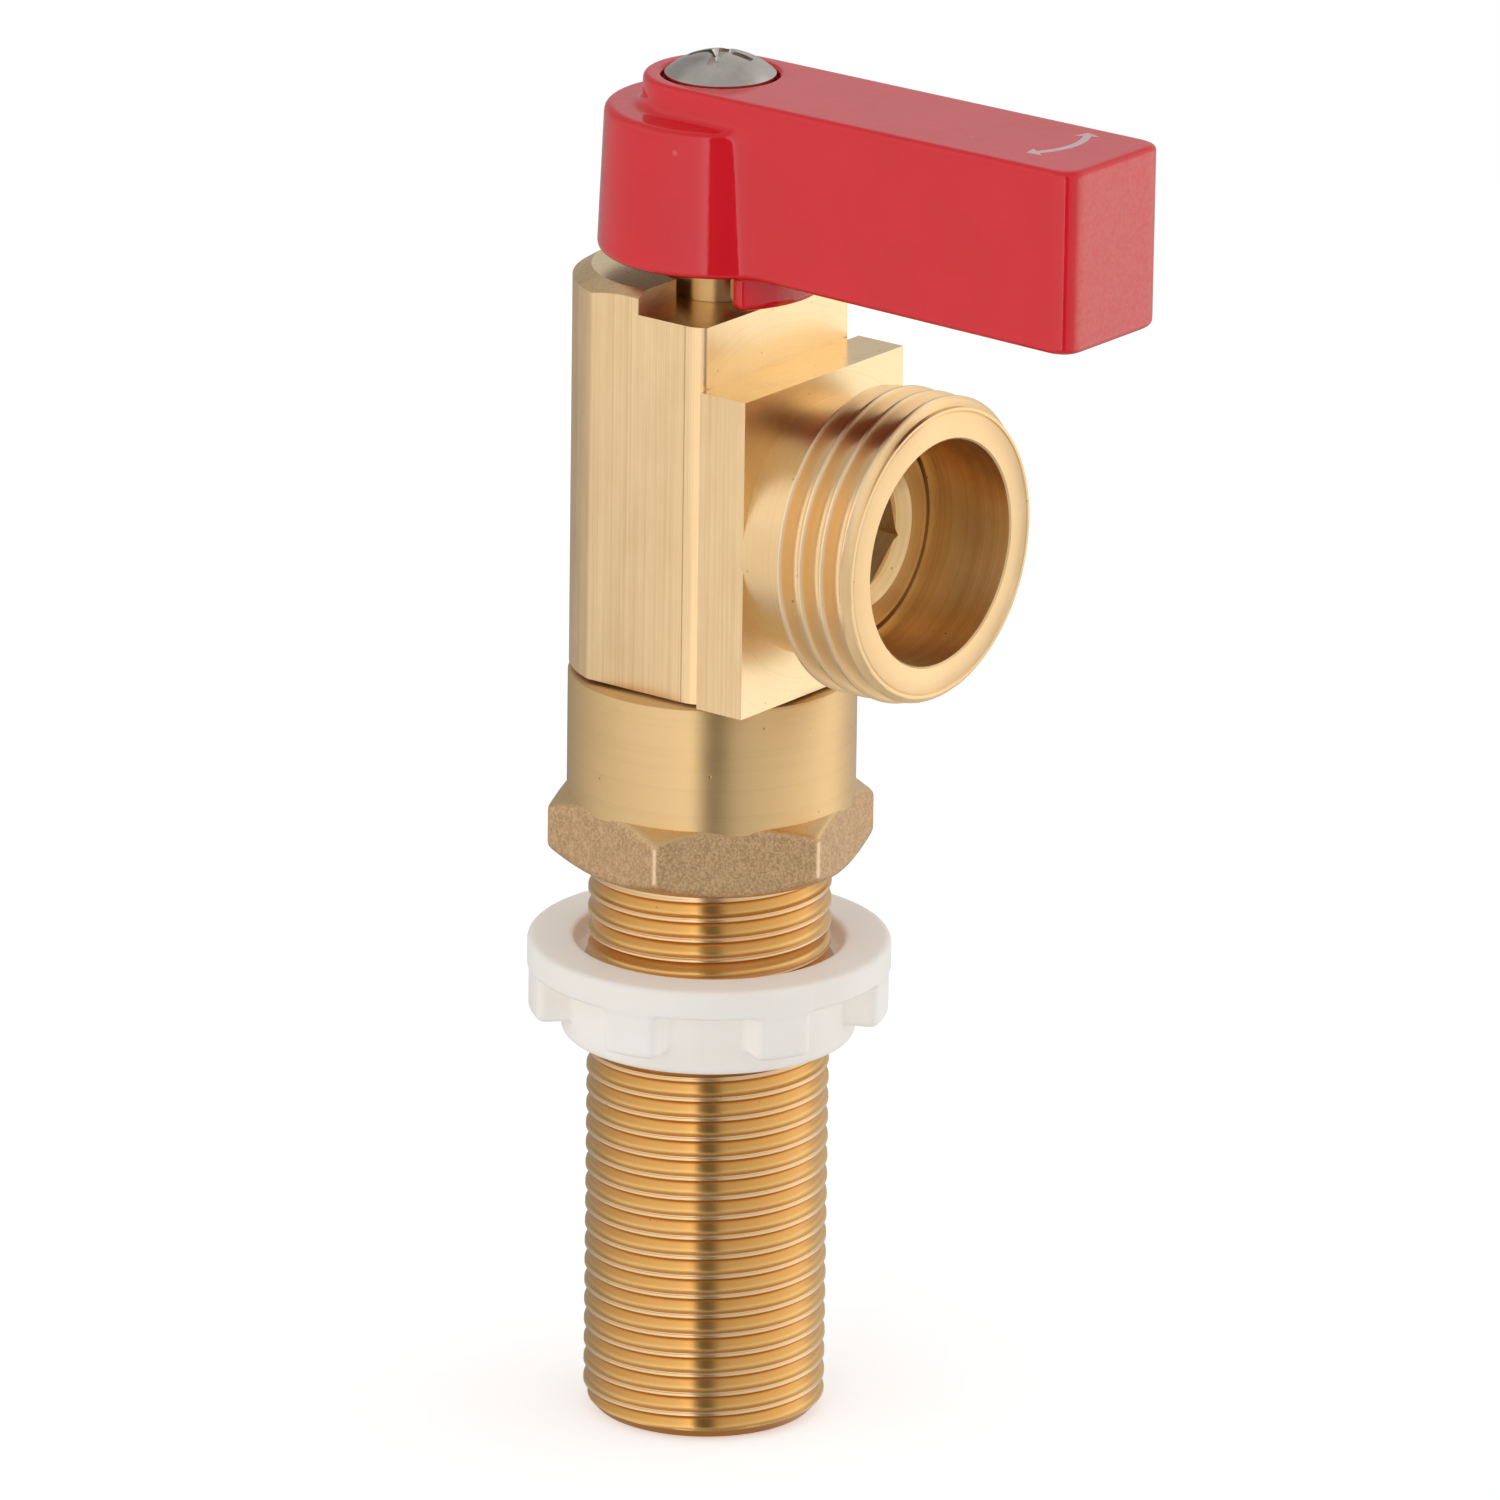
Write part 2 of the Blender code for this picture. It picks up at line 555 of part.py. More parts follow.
def main():
    clear_scene()
    bar_brass = material("extruded_brass", (0.66, 0.50, 0.28), 1.0, 0.38)
    turned_brass = material("turned_brass", (0.70, 0.52, 0.24), 1.0, 0.32)
    red_enamel = material("red_enamel", (0.62, 0.01, 0.02), 0.0, 0.25)
    stainless = material("stainless", (0.60, 0.60, 0.60), 1.0, 0.28)
    nylon = material("white_nylon", (0.86, 0.83, 0.78), 0.0, 0.45)
    plated = material("plated_ball", (0.75, 0.75, 0.76), 1.0, 0.10)
    seat_plastic = material("seat_plastic", (0.90, 0.90, 0.88), 0.0, 0.50)
    rubber = material("black_rubber", (0.02, 0.02, 0.02), 0.0, 0.70)
    build_tailpiece(turned_brass)
    build_locknut(nylon)
    build_body(bar_brass)
    build_ball(plated)
    build_seats(seat_plastic)
    build_retainer(turned_brass)
    build_stem(turned_brass)
    build_rings(seat_plastic, rubber)
    build_handle(red_enamel)
    build_screw(stainless)


main()
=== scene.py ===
import math

import bmesh
import bpy
import numpy as np
from mathutils import Matrix, Vector


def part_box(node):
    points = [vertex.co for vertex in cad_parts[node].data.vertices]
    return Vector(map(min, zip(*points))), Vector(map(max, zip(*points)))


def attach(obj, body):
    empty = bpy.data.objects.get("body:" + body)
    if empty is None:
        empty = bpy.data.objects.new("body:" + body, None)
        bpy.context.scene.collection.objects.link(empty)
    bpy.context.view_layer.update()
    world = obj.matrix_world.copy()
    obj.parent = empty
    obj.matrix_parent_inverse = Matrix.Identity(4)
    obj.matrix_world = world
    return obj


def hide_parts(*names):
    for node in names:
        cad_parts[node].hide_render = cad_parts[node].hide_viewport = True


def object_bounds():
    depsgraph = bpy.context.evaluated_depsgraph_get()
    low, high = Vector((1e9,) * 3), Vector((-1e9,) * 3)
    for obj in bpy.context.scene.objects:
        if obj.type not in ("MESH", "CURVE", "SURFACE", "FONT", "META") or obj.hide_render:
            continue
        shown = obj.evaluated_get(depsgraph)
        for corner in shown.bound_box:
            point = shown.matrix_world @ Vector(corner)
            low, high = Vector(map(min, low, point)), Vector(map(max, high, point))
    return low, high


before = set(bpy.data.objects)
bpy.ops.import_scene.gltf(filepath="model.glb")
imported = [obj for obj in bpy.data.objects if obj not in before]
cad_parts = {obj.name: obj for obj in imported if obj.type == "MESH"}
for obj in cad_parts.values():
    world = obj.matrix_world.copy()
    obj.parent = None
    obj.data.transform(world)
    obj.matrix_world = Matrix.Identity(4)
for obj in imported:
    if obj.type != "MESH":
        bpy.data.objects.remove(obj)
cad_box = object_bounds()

MM = 0.001


def node_box(name):
    """Lowest and highest corner of a CAD node, in millimetres."""
    low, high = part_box(name)
    return low / MM, high / MM


body_low, body_high = node_box("valve_body")
nut_low, nut_high = node_box("locknut")
handle_low, handle_high = node_box("handle")
stem_low, stem_high = node_box("stem")
screw_low, screw_high = node_box("handle_screw")
retainer_low, retainer_high = node_box("seat_retainer")
ball_low, ball_high = node_box("ball")

# shapes that cut or join run this far past the surface
PAST = 1.0
WELL_PAST = 5.0
WIDE = 20.0
OVERLAP = 0.3
# a small turn keeps the corners of two round cutters from meeting
OFFSET_TURN = 2.0

# sides of round pieces
SIDES = 128
SIDES_FINE = 160
SIDES_SHANK = 144
SIDES_SMALL = 96
SIDES_HIDDEN = 48

# shank, hexagon and barrel; one root of the shank's thread is at START_Z, START_TURN
SHANK_R = 10.55
SHANK_PITCH = 1.8143
SHANK_DEPTH = 0.42
SHANK_START_Z = 31.0
SHANK_START_TURN = 127.3
SHANK_ROWS = 32
VALLEY_SHARE = 0.80
VALLEY_POWER = 4.5
CREST_DIP = 0.07
CREST_DIP_SHARE = 0.84
SHANK_RELIEF = 0.45
SHANK_RUNOUT = 0.3
SHANK_LEAD = 0.95
SHANK_LEAD_SLOPE = 0.9
HEX_Z = 50.15
HEX_TOP_Z = 56.45
HEX_FLAT = 12.47
HEX_FACE_R = 11.7
HEX_TURN = 17.9
HEX_SLOPE = 30.0
HEX_CORNER = 0.35
HEX_EDGE = 0.4
HEX_RIM = 0.25
HEX_BORE_R = 9.95
HEX_ROOM = 16.0
HEX_CELL = 0.24
BARREL_R = 12.5
BARREL_TOP_Z = 67.4
BARREL_EDGE = 0.35
SPIGOT_R = 8.8
SPIGOT_TOP_Z = 71.6
SEAL_R = 7.9
SEAL_Z = (69.1, 70.7)
PASSAGE_R = 6.4
TUBE_SOCKET_R = 8.0
TUBE_SOCKET_Z = 13.0
TUBE_SOCKET_EDGE = 0.3

# valve body
OUTLET_Z = (ball_low.z + ball_high.z) / 2
BODY_Z = body_low.z
BODY_HALF = 10.5
BODY_BACK_R = 11.2
BODY_BACK_Y = 1.55
BODY_EDGE = 0.1
CORNER_Y = -4.7
CORNER_R = 2.85
CORNER_REACH = 38.0
CORNER_LINE = 0.06
NECK_Y = -6.5
NECK_HALF = 9.5
PLATE_HALF = 11.1
PLATE_BACK_Y = -6.8
PLATE_Y = -11.6
PLATE_TOP_Z = 95.85
FLOOR_Z = 101.2
SHOULDER_Z = body_high.z
SHOULDER_Y = 0.4
SHOULDER_FLAT_R = 9.6
SHOULDER_SLOPE = 32.0
SHOULDER_REACH = 8.0
RECESS_R = 5.3
STEM_ROOM_R = 5.5
STEM_ROOM_Z = 92.7
STEM_BORE_R = 4.15
SOCKET_R = 9.1
SOCKET_Z = 71.9
CAVITY_R = 8.05
CAVITY_Y = -10.8
CAVITY_BACK_Y = 9.0

# outlet
OUTLET_Y = body_low.y
THREAD_R = 13.45
THREAD_PITCH = 2.209
THREAD_DEPTH = 1.25
THREAD_CREST_Y = -17.1
THREAD_ROWS = 24
ROOT_SHARE = 0.86
ROOT_POWER = 2.2
THREAD_START = 0.9
COLLAR_R = 11.2
COLLAR_END_Y = -15.9
LAND_Y = -23.62
LAND_END_R = 12.6
MOUTH_R = 9.86
MOUTH_EDGE = 0.15
FACE_LINE_R = 12.25
FACE_LINE = (0.12, 0.1)
POCKET_Y = -16.0
POCKET_R = 9.35

# seat retainer
RETAINER_R = 9.05
RETAINER_LIP_R = 8.9
RETAINER_LIP = 0.5
RETAINER_RIM_R = 8.75
RETAINER_EDGE = 0.1
RETAINER_CONE_R = 6.7
RETAINER_FACE_R = 5.5
RETAINER_FACE_Y = -15.3
RETAINER_FLAT = 5.0
RETAINER_TURN = 15.0
RETAINER_BEVEL = 0.06

# ball and stem; the ball's side port and the tang face REST_TURN at rest
REST_TURN = -135.0
BALL_R = 7.6
PORT_R = 4.2
ELBOW_R = 4.22
SLOT_HALF = 1.75
SLOT_Z = 87.1
STEM_R = 4.0
STEM_EDGE = 0.3
FLANGE_R = 5.2
FLANGE_Z = (90.0, 91.3)
GROOVE_Z = (94.9, 98.2)
GROOVE_R = 3.0
GROOVE_HALF = 0.75
SQUARE_HALF = 2.9
SQUARE_Z = 105.5
TAPPED_R = 2.3
TAPPED_Z = 107.0
TANG_REACH = 4.6
TANG_HALF = 1.45
TANG_TOP_Z = 90.2

# locknut
NUT_FLANGE = 2.55
NUT_R = 15.8
NUT_HUB_R = 12.8
NUT_BORE_R = 10.85
NUT_MOUTH_R = 11.7
NUT_MOUTH_DEPTH = 2.0
NUT_COVER = 0.8
NUT_CELL = 0.22
NUT_EDGE = 0.6
NUT_BORE_EDGE = 0.5
NUT_SMALL_EDGE = 0.35
NUT_HUB_EDGE = 0.7
LUG_COUNT = 7
LUG_HALF = 2.5
LUG_INSET = 0.1
LUG_ROOT = 2.0
LUG_Z = 36.5
LUG_TURN = -168.7

# lever
HUB_TOP_Z = 117.7
HUB_R = 10.5
HUB_TOP_R = 9.85
HUB_EDGE = 0.8
ARM_HALF = 6.6
ARM_DROOP = 0.45
ARM_TIP_EDGE = 2.0
CAST_EDGE = 0.6
CAST_FILLET = 1.1
FLOOR_LIFT = 3.13
TAB_INNER_R = 5.9
TAB_OUTER_R = 9.35
TAB_HALF_ANGLE = 43.5
TAB_END_EDGE = 1.0
TAB_FILLET = 0.5
TAB_ROOT = 2.0
HEAD_SEAT_Z = 119.0
HEAD_RECESS_R = 5.05
HEAD_RECESS_EDGE = 0.45
LEVER_PLAY = 0.3
LEVER_SQUARE_Z = 117.4
LEVER_CELL = 0.2

# printed arrow, its angles in degrees around ARROW_CENTRE
ARROW_CENTRE = (0.9, -30.2)
ARROW_R = 6.3
ARROW_HALF = 0.34
ARROW_ENDS = (-133.0, -52.0)
BARB_HALF = 1.05
BARB_SPAN = 9.0
INK_DEPTH = 0.02
INK_RISE = 0.015

# screw
HEAD_R = 4.78
HEAD_FLAT_R = 4.6
HEAD_Z = 119.15
HEAD_EDGE = 0.15
HEAD_RIM_Z = 120.45
SCREW_R = 2.0
SCREW_POINT = 0.4
CROSS_REACH = 2.8
CROSS_HALF = 0.45
CROSS_DEPTH = 0.75
CROSS_TURN = 20.0
CROSS_EDGE = 0.07
CROSS_POINT_R = 1.4
CROSS_POINT_DEPTH = 2.0


# ------------------------ mesh tools

SAME_POINT = 1e-5
SAME_THREAD_POINT = 1e-4
SHARP = 30.0
BEVEL_FROM = 35.0


def place(name, data):
    """Put a mesh or camera into the scene as an object."""
    made = bpy.data.objects.new(name, data)
    bpy.context.scene.collection.objects.link(made)
    return made


def woven(verts, faces):
    """A bmesh from arrays of corners and faces."""
    mesh = bpy.data.meshes.new("woven")
    mesh.from_pydata(verts.tolist(), [], faces)
    bm = bmesh.new()
    bm.from_mesh(mesh)
    bpy.data.meshes.remove(mesh)
    return bm


def finish_mesh(name, bm, body, material, nodes=(), sharp=SHARP, matrix=None):
    """Scale a bmesh from millimetres, make the piece and hang it on its CAD body."""
    if matrix is not None:
        bmesh.ops.transform(bm, matrix=matrix, verts=bm.verts)
    bmesh.ops.scale(bm, vec=(MM, MM, MM), verts=bm.verts)
    bmesh.ops.recalc_face_normals(bm, faces=bm.faces)
    mesh = bpy.data.meshes.new(name)
    bm.to_mesh(mesh)
    bm.free()
    mesh.shade_smooth()
    mesh.set_sharp_from_angle(angle=math.radians(sharp))
    piece = place(name, mesh)
    if body is not None:
        mesh.materials.append(material)
        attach(piece, body)
    if nodes:
        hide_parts(*nodes)
    return piece


def turned(profile, sides=SIDES):
    """Solid of revolution about Z from a closed outline of (radius, height)."""
    bm = bmesh.new()
    verts = [bm.verts.new((radius, 0.0, height)) for radius, height in profile]
    edges = []
    for i, vert in enumerate(verts):
        if profile[i - 1][0] > 0 or profile[i][0] > 0:
            edges.append(bm.edges.new((verts[i - 1], vert)))
    bmesh.ops.spin(bm, geom=verts + edges, axis=(0, 0, 1), cent=(0, 0, 0),
                   angle=2 * math.pi, steps=sides, use_merge=True)
    bmesh.ops.remove_doubles(bm, verts=bm.verts, dist=SAME_POINT)
    bmesh.ops.dissolve_degenerate(bm, edges=bm.edges, dist=SAME_POINT)
    return bm


def extruded(outline, low, high):
    """Prism between two heights from a closed outline of (x, y) points."""
    bm = bmesh.new()
    face = bm.faces.new([bm.verts.new((x, y, low)) for x, y in outline])
    grown = bmesh.ops.extrude_face_region(bm, geom=[face])
    top = [item for item in grown["geom"] if isinstance(item, bmesh.types.BMVert)]
    bmesh.ops.translate(bm, verts=top, vec=(0, 0, high - low))
    return bm


def block(low, high):
    """Box between two corners."""
    bm = bmesh.new()
    bmesh.ops.create_cube(bm, size=1.0)
    bmesh.ops.scale(bm, vec=Vector(high) - Vector(low), verts=bm.verts)
    bmesh.ops.translate(bm, verts=bm.verts, vec=(Vector(high) + Vector(low)) / 2)
    return bm


def arc(centre, radius, start, end, steps):
    """Points on a circle between two angles in degrees, both ends included."""
    angles = [math.radians(start + (end - start) * i / steps) for i in range(steps + 1)]
    return [(centre[0] + radius * math.cos(a), centre[1] + radius * math.sin(a))
            for a in angles]


def along_outlet():
    """Places a piece turned about Z on the outlet's axis, its height becoming Y."""
    return Matrix.Translation((0, 0, OUTLET_Z)) @ Matrix.Rotation(math.radians(-90), 4, "X")


def about_z(degrees):
    return Matrix.Rotation(math.radians(degrees), 4, "Z")


def carve(piece, cutters, bevel=0.0):
    """Cut shapes out of a piece for good, then soften its edges.

    cutters lists (bmesh, matrix) for each shape; bevel is in millimetres.
    """
    tools = []
    for index, (bm, matrix) in enumerate(cutters):
        tool = finish_mesh(f"cutter_{index}", bm, None, None, matrix=matrix)
        modifier = piece.modifiers.new(f"cut_{index}", "BOOLEAN")
        modifier.operation = "DIFFERENCE"
        modifier.solver = "EXACT"
        modifier.object = tool
        tools.append(tool)
    if bevel:
        edge = piece.modifiers.new("edges", "BEVEL")
        edge.width = bevel * MM
        edge.segments = 2
        edge.limit_method = "ANGLE"
        edge.angle_limit = math.radians(BEVEL_FROM)
        edge.harden_normals = True
    graph = bpy.context.evaluated_depsgraph_get()
    done = bpy.data.meshes.new_from_object(piece.evaluated_get(graph))
    piece.modifiers.clear()
    old = piece.data
    piece.data = done
    done.name = old.name
    bpy.data.meshes.remove(old)
    for tool in tools:
        bpy.data.objects.remove(tool, do_unlink=True)
    if not bevel:
        done.shade_smooth()
        done.set_sharp_from_angle(angle=math.radians(SHARP))


def threaded(low, high, pitch, start, radius, closing, sides, samples):
    """Turned solid about Z whose outside follows a right-hand helix between two heights.

    radius(height, angle) gives the outside; its mesh rows follow the helix, so that crests
    and roots stay crisp, samples rows to a turn. closing lists (radius, height) from the top
    end back to the bottom.
    """
    turns = math.ceil((high - low) / pitch) + 3
    rows = np.arange(turns * samples + 1)[:, None]
    columns = np.arange(sides)[None, :]
    angle = columns * 2 * math.pi / sides
    first = low + (start - low) % pitch - 2 * pitch
    height = np.clip(first + pitch * (rows / samples + columns / sides), low, high)
    across = radius(height, angle)
    points = np.stack([across * np.cos(angle), across * np.sin(angle), height], -1)
    rings = [points]
    for ring_radius, ring_height in closing:
        ring = np.stack([ring_radius * np.cos(angle), ring_radius * np.sin(angle),
                         np.full(angle.shape, ring_height)], -1)
        rings.append(ring)
    verts = np.concatenate(rings).reshape(-1, 3)
    count = len(rows)
    total = count + len(closing)
    faces = []
    for row in range(count - 1):
        for column in range(sides):
            step = samples if column == sides - 1 else 0
            if row + 1 + step < count:
                after = (column + 1) % sides
                faces.append((row * sides + column, (row + step) * sides + after,
                              (row + 1 + step) * sides + after, (row + 1) * sides + column))
    for row in range(count - 1, total):
        below, above = row * sides, (row + 1) % total * sides
        for column in range(sides):
            after = (column + 1) % sides
            faces.append((below + column, below + after, above + after, above + column))
    bm = woven(verts, faces)
    bmesh.ops.remove_doubles(bm, verts=bm.verts, dist=SAME_THREAD_POINT)
    bmesh.ops.dissolve_degenerate(bm, edges=bm.edges, dist=SAME_THREAD_POINT)
    return bm


# ------------------------ moulded shapes

def hard(a, b, size):
    """Intersection of two distance fields with the edge between them rounded."""
    near = np.maximum(size - np.abs(a - b), 0) / size
    return np.maximum(a, b) + near * near * size / 4


def soft(a, b, size):
    """Union of two distance fields with a fillet between them."""
    return -hard(-a, -b, size)


SQUARE_CORNERS = ((0, 0), (1, 0), (1, 1), (0, 1))
PULLS = 3
PULL_STEP = 0.2
LEAST_SLOPE = 0.2


def skin(distance, low, high, cell):
    """Closed mesh of the surface where distance is zero, found on a grid of cells."""
    low = np.array(low, float)
    counts = np.ceil((np.array(high) - low) / cell).astype(int) + 1
    axes = [low[i] + cell * np.arange(counts[i]) for i in range(3)]
    grid = np.stack(np.meshgrid(*axes, indexing="ij"), -1)
    value = distance(grid[..., 0], grid[..., 1], grid[..., 2])
    inside = value < 0
    cells = counts - 1
    total = np.zeros((*cells, 3))
    hits = np.zeros(tuple(cells))
    for axis in range(3):
        first = [slice(None)] * 3
        second = [slice(None)] * 3
        first[axis] = slice(0, -1)
        second[axis] = slice(1, None)
        a, b = value[tuple(first)], value[tuple(second)]
        crossing = inside[tuple(first)] != inside[tuple(second)]
        share = np.where(crossing, a / np.where(crossing, a - b, 1), 0)
        point = grid[tuple(first)].copy()
        point[..., axis] += share * cell
        others = [i for i in range(3) if i != axis]
        for corner in SQUARE_CORNERS:
            window = [slice(None)] * 3
            for other, shift in zip(others, corner):
                window[other] = slice(shift, shift + cells[other])
            part = crossing[tuple(window)]
            total += np.where(part[..., None], point[tuple(window)], 0)
            hits += part
    used = hits > 0
    number = np.full(tuple(cells), -1)
    number[used] = np.arange(used.sum())
    verts = total[used] / hits[used][:, None]
    for _ in range(PULLS):
        verts = verts - pull(distance, verts, cell * PULL_STEP)
    faces = []
    for axis in range(3):
        others = [i for i in range(3) if i != axis]
        first = [slice(1, -1)] * 3
        second = [slice(1, -1)] * 3
        first[axis] = slice(0, -1)
        second[axis] = slice(1, None)
        entering = inside[tuple(first)] & ~inside[tuple(second)]
        leaving = ~inside[tuple(first)] & inside[tuple(second)]
        for crossing, flip in ((entering, False), (leaving, True)):
            spots = np.argwhere(crossing)
            loops = []
            for shift_a, shift_b in SQUARE_CORNERS:
                spot = spots.copy()
                spot[:, others[0]] += shift_a
                spot[:, others[1]] += shift_b
                loops.append(number[tuple(spot.T)])
            quad = np.stack(loops, -1)
            if flip != (axis == 1):
                quad = quad[:, ::-1]
            faces.append(quad)
    return woven(verts, np.concatenate(faces).tolist())


def pull(distance, points, step):
    """How far points lie from the surface where distance is zero, as a vector each."""
    here = distance(*points.T)
    slope = np.empty_like(points)
    for axis in range(3):
        shift = np.zeros(3)
        shift[axis] = step
        ahead = distance(*(points + shift).T)
        behind = distance(*(points - shift).T)
        slope[:, axis] = (ahead - behind) / (2 * step)
    size = np.maximum((slope ** 2).sum(1, keepdims=True), LEAST_SLOPE)
    return here[:, None] * slope / size


# ------------------------ materials

class Nodes:
    """Short names for building the node tree of one material or world."""

    def __init__(self, owner):
        owner.use_nodes = True
        self.owner = owner
        self.tree = owner.node_tree
        self.shader = self.tree.nodes.get("Principled BSDF")
        self.places = self.add("ShaderNodeTexCoord").outputs
        self.coords = self.places["Object"]

    def add(self, kind, **settings):
        node = self.tree.nodes.new(kind)
        for key, value in settings.items():
            setattr(node, key, value)
        return node

    def link(self, source, target):
        self.tree.links.new(source, target)

    def feed(self, node, values):
        for key, value in values.items():
            if isinstance(value, bpy.types.NodeSocket):
                self.link(value, node.inputs[key])
            else:
                node.inputs[key].default_value = value
        return node

    def finish(self, values):
        self.feed(self.shader, values)
        return self.owner

    def math(self, operation, a, b=0.0):
        node = self.feed(self.add("ShaderNodeMath", operation=operation), {0: a, 1: b})
        return node.outputs[0]

    def times(self, a, b):
        return self.math("MULTIPLY", a, b)

    def blend(self, a, part_a, b, part_b):
        """Weighted sum of two values."""
        return self.math("ADD", self.times(a, part_a), self.times(b, part_b))

    def facing(self):
        """Which way the surface faces, as x, y and z."""
        split = self.add("ShaderNodeSeparateXYZ")
        self.link(self.places["Normal"], split.inputs[0])
        return split.outputs

    def stretch(self, scale, source=None):
        node = self.add("ShaderNodeMapping")
        node.inputs["Scale"].default_value = scale
        self.link(source or self.coords, node.inputs["Vector"])
        return node.outputs["Vector"]

    def tilted(self, angles):
        node = self.add("ShaderNodeMapping")
        node.inputs["Rotation"].default_value = angles
        self.link(self.coords, node.inputs["Vector"])
        return node.outputs["Vector"]

    def noise(self, vector, scale=1.0, detail=3.0, rough=0.5):
        node = self.feed(self.add("ShaderNodeTexNoise"), {
            "Vector": vector, "Scale": scale, "Detail": detail, "Roughness": rough})
        return node.outputs["Fac"]

    def ramp(self, value, low, high, out_low=0.0, out_high=1.0):
        node = self.feed(self.add("ShaderNodeMapRange"), {
            "Value": value, "From Min": low, "From Max": high,
            "To Min": out_low, "To Max": out_high})
        return node.outputs["Result"]

    def mix(self, share, a, b):
        """Mix two colours; each is a tuple or a socket."""
        node = self.add("ShaderNodeMix", data_type="RGBA")
        colours = [value if isinstance(value, bpy.types.NodeSocket) else (*value, 1.0)
                   for value in (a, b)]
        self.feed(node, {0: share, 6: colours[0], 7: colours[1]})
        return node.outputs[2]

    def bump(self, height, distance, strength=1.0, below=None):
        """Bump from a height between 0 and 1; distance is in metres."""
        node = self.feed(self.add("ShaderNodeBump"), {
            "Height": height, "Strength": strength, "Distance": distance})
        if below is not None:
            self.link(below, node.inputs["Normal"])
        return node.outputs["Normal"]

    def axis_polar(self, centre_z=None):
        """Radius from, and place along, an axis: Z, or Y at a height in metres."""
        split = self.add("ShaderNodeSeparateXYZ")
        self.link(self.coords, split.inputs[0])
        x, y, z = split.outputs
        if centre_z is not None:
            y, z = self.math("SUBTRACT", z, centre_z), y
        return self.math("SQRT", self.blend(x, x, y, y)), z

    def lines(self, radius, along, scale):
        """Fine turning lines: noise of radius and place along the axis only."""
        joined = self.feed(self.add("ShaderNodeCombineXYZ"), {"X": radius, "Y": along})
        return self.noise(joined.outputs[0], scale, 4.0, 0.6)


def surface(name):
    return Nodes(bpy.data.materials.new(name))


# turning lines to a metre, and how far a turned surface stretches its highlights
FINE_LINES = 2600.0
COARSE_LINES = 900.0
TURNED_STRETCH = 0.8
QUARTER_TURN = 0.25


def specks(nodes, size, share):
    """Small scattered marks: 1 on a mark, 0 elsewhere."""
    cells = nodes.add("ShaderNodeTexVoronoi", feature="F1")
    nodes.feed(cells, {"Vector": nodes.coords, "Scale": size})
    pick = nodes.add("ShaderNodeSeparateColor")
    nodes.link(cells.outputs["Color"], pick.inputs[0])
    chosen = nodes.math("LESS_THAN", pick.outputs[0], share)
    near = nodes.ramp(cells.outputs["Distance"], 0.04, 0.14, 1.0, 0.0)
    return nodes.times(chosen, near)


def metal(nodes, colour, roughness, normal, anisotropy=0.0, axis="Z"):
    """Finish a metal; anisotropy stretches its highlights around the axis."""
    if anisotropy:
        around_axis = nodes.add("ShaderNodeTangent", direction_type="RADIAL", axis=axis)
        nodes.finish({"Tangent": around_axis.outputs[0], "Anisotropic": anisotropy,
                      "Anisotropic Rotation": QUARTER_TURN})
    return nodes.finish({"Base Color": colour, "Metallic": 1.0, "Roughness": roughness,
                         "Normal": normal})


def extruded_brass():
    """Drawn bar: fine vertical lines and small pits, with milled ledges and plate face painted
    lighter, partly for the milling and partly as painted light.
    """
    nodes = surface("extruded_brass")
    draw = nodes.noise(nodes.stretch((5200, 5200, 22)), 1.0, 5.0, 0.7)
    streak = nodes.noise(nodes.stretch((1300, 1300, 30)), 1.0, 3.0, 0.55)
    cloud = nodes.noise(nodes.stretch((220, 220, 110)), 1.0, 4.0, 0.6)
    radius, _ = nodes.axis_polar(OUTLET_Z * MM)
    rings = nodes.lines(radius, 0.0, FINE_LINES)
    facing = nodes.facing()
    front = nodes.ramp(facing[1], -0.90, -0.97)
    level = nodes.ramp(nodes.math("ABSOLUTE", facing[2]), 0.85, 0.95)
    slanted = nodes.stretch((420, 3600, 100), nodes.tilted((0, 0, 0.35)))
    cutter = nodes.noise(slanted, 1.0, 3.0, 0.6)
    lines = nodes.blend(draw, 0.6, streak, 0.4)
    milled_and_painted_light = nodes.math("MAXIMUM", front, level)
    height = nodes.mix(level, nodes.mix(front, lines, rings), cutter)
    pits = specks(nodes, 1300.0, 0.16)
    tint = nodes.mix(nodes.ramp(cloud, 0.32, 0.68), (0.89, 0.62, 0.335), (0.98, 0.715, 0.41))
    tint = nodes.mix(nodes.ramp(lines, 0.42, 0.66, 0.0, 0.55), tint, (0.72, 0.47, 0.24))
    # milled faces painted lighter: partly the milling, partly painted light on the top and front
    # faces
    tint = nodes.mix(nodes.times(milled_and_painted_light, 0.75), tint, (0.99, 0.77, 0.45))
    tint = nodes.mix(nodes.ramp(height, 0.52, 0.75, 0.0, 0.30), tint, (0.62, 0.36, 0.16))
    tint = nodes.mix(nodes.times(pits, 0.6), tint, (0.22, 0.13, 0.06))
    rough = nodes.ramp(cloud, 0.3, 0.7, 0.29, 0.38)
    rough = nodes.math("SUBTRACT", rough, nodes.times(level, 0.10))
    normal = nodes.bump(height, 0.000012, 0.6)
    normal = nodes.bump(pits, -0.00003, 0.8, normal)
    return metal(nodes, tint, rough, normal)


def valley_painted_shade(nodes, tint, radius, painted_shade_colour, crest_r):
    """Painted shade: thread valleys darker on the side that faces down."""
    below = nodes.ramp(nodes.facing()[2], 0.35, -0.45)
    depth = nodes.ramp(radius, crest_r - 0.08 * MM, crest_r - 0.35 * MM)
    return nodes.mix(nodes.times(below, depth), tint, painted_shade_colour)


def crest_painted_highlight(nodes, tint, radius, light, crest_r):
    """Painted highlight: thread crests painted lighter and paler."""
    crest = nodes.ramp(radius, crest_r - 0.16 * MM, crest_r - 0.03 * MM)
    return nodes.mix(crest, tint, tuple(0.80 * c + 0.18 for c in light))


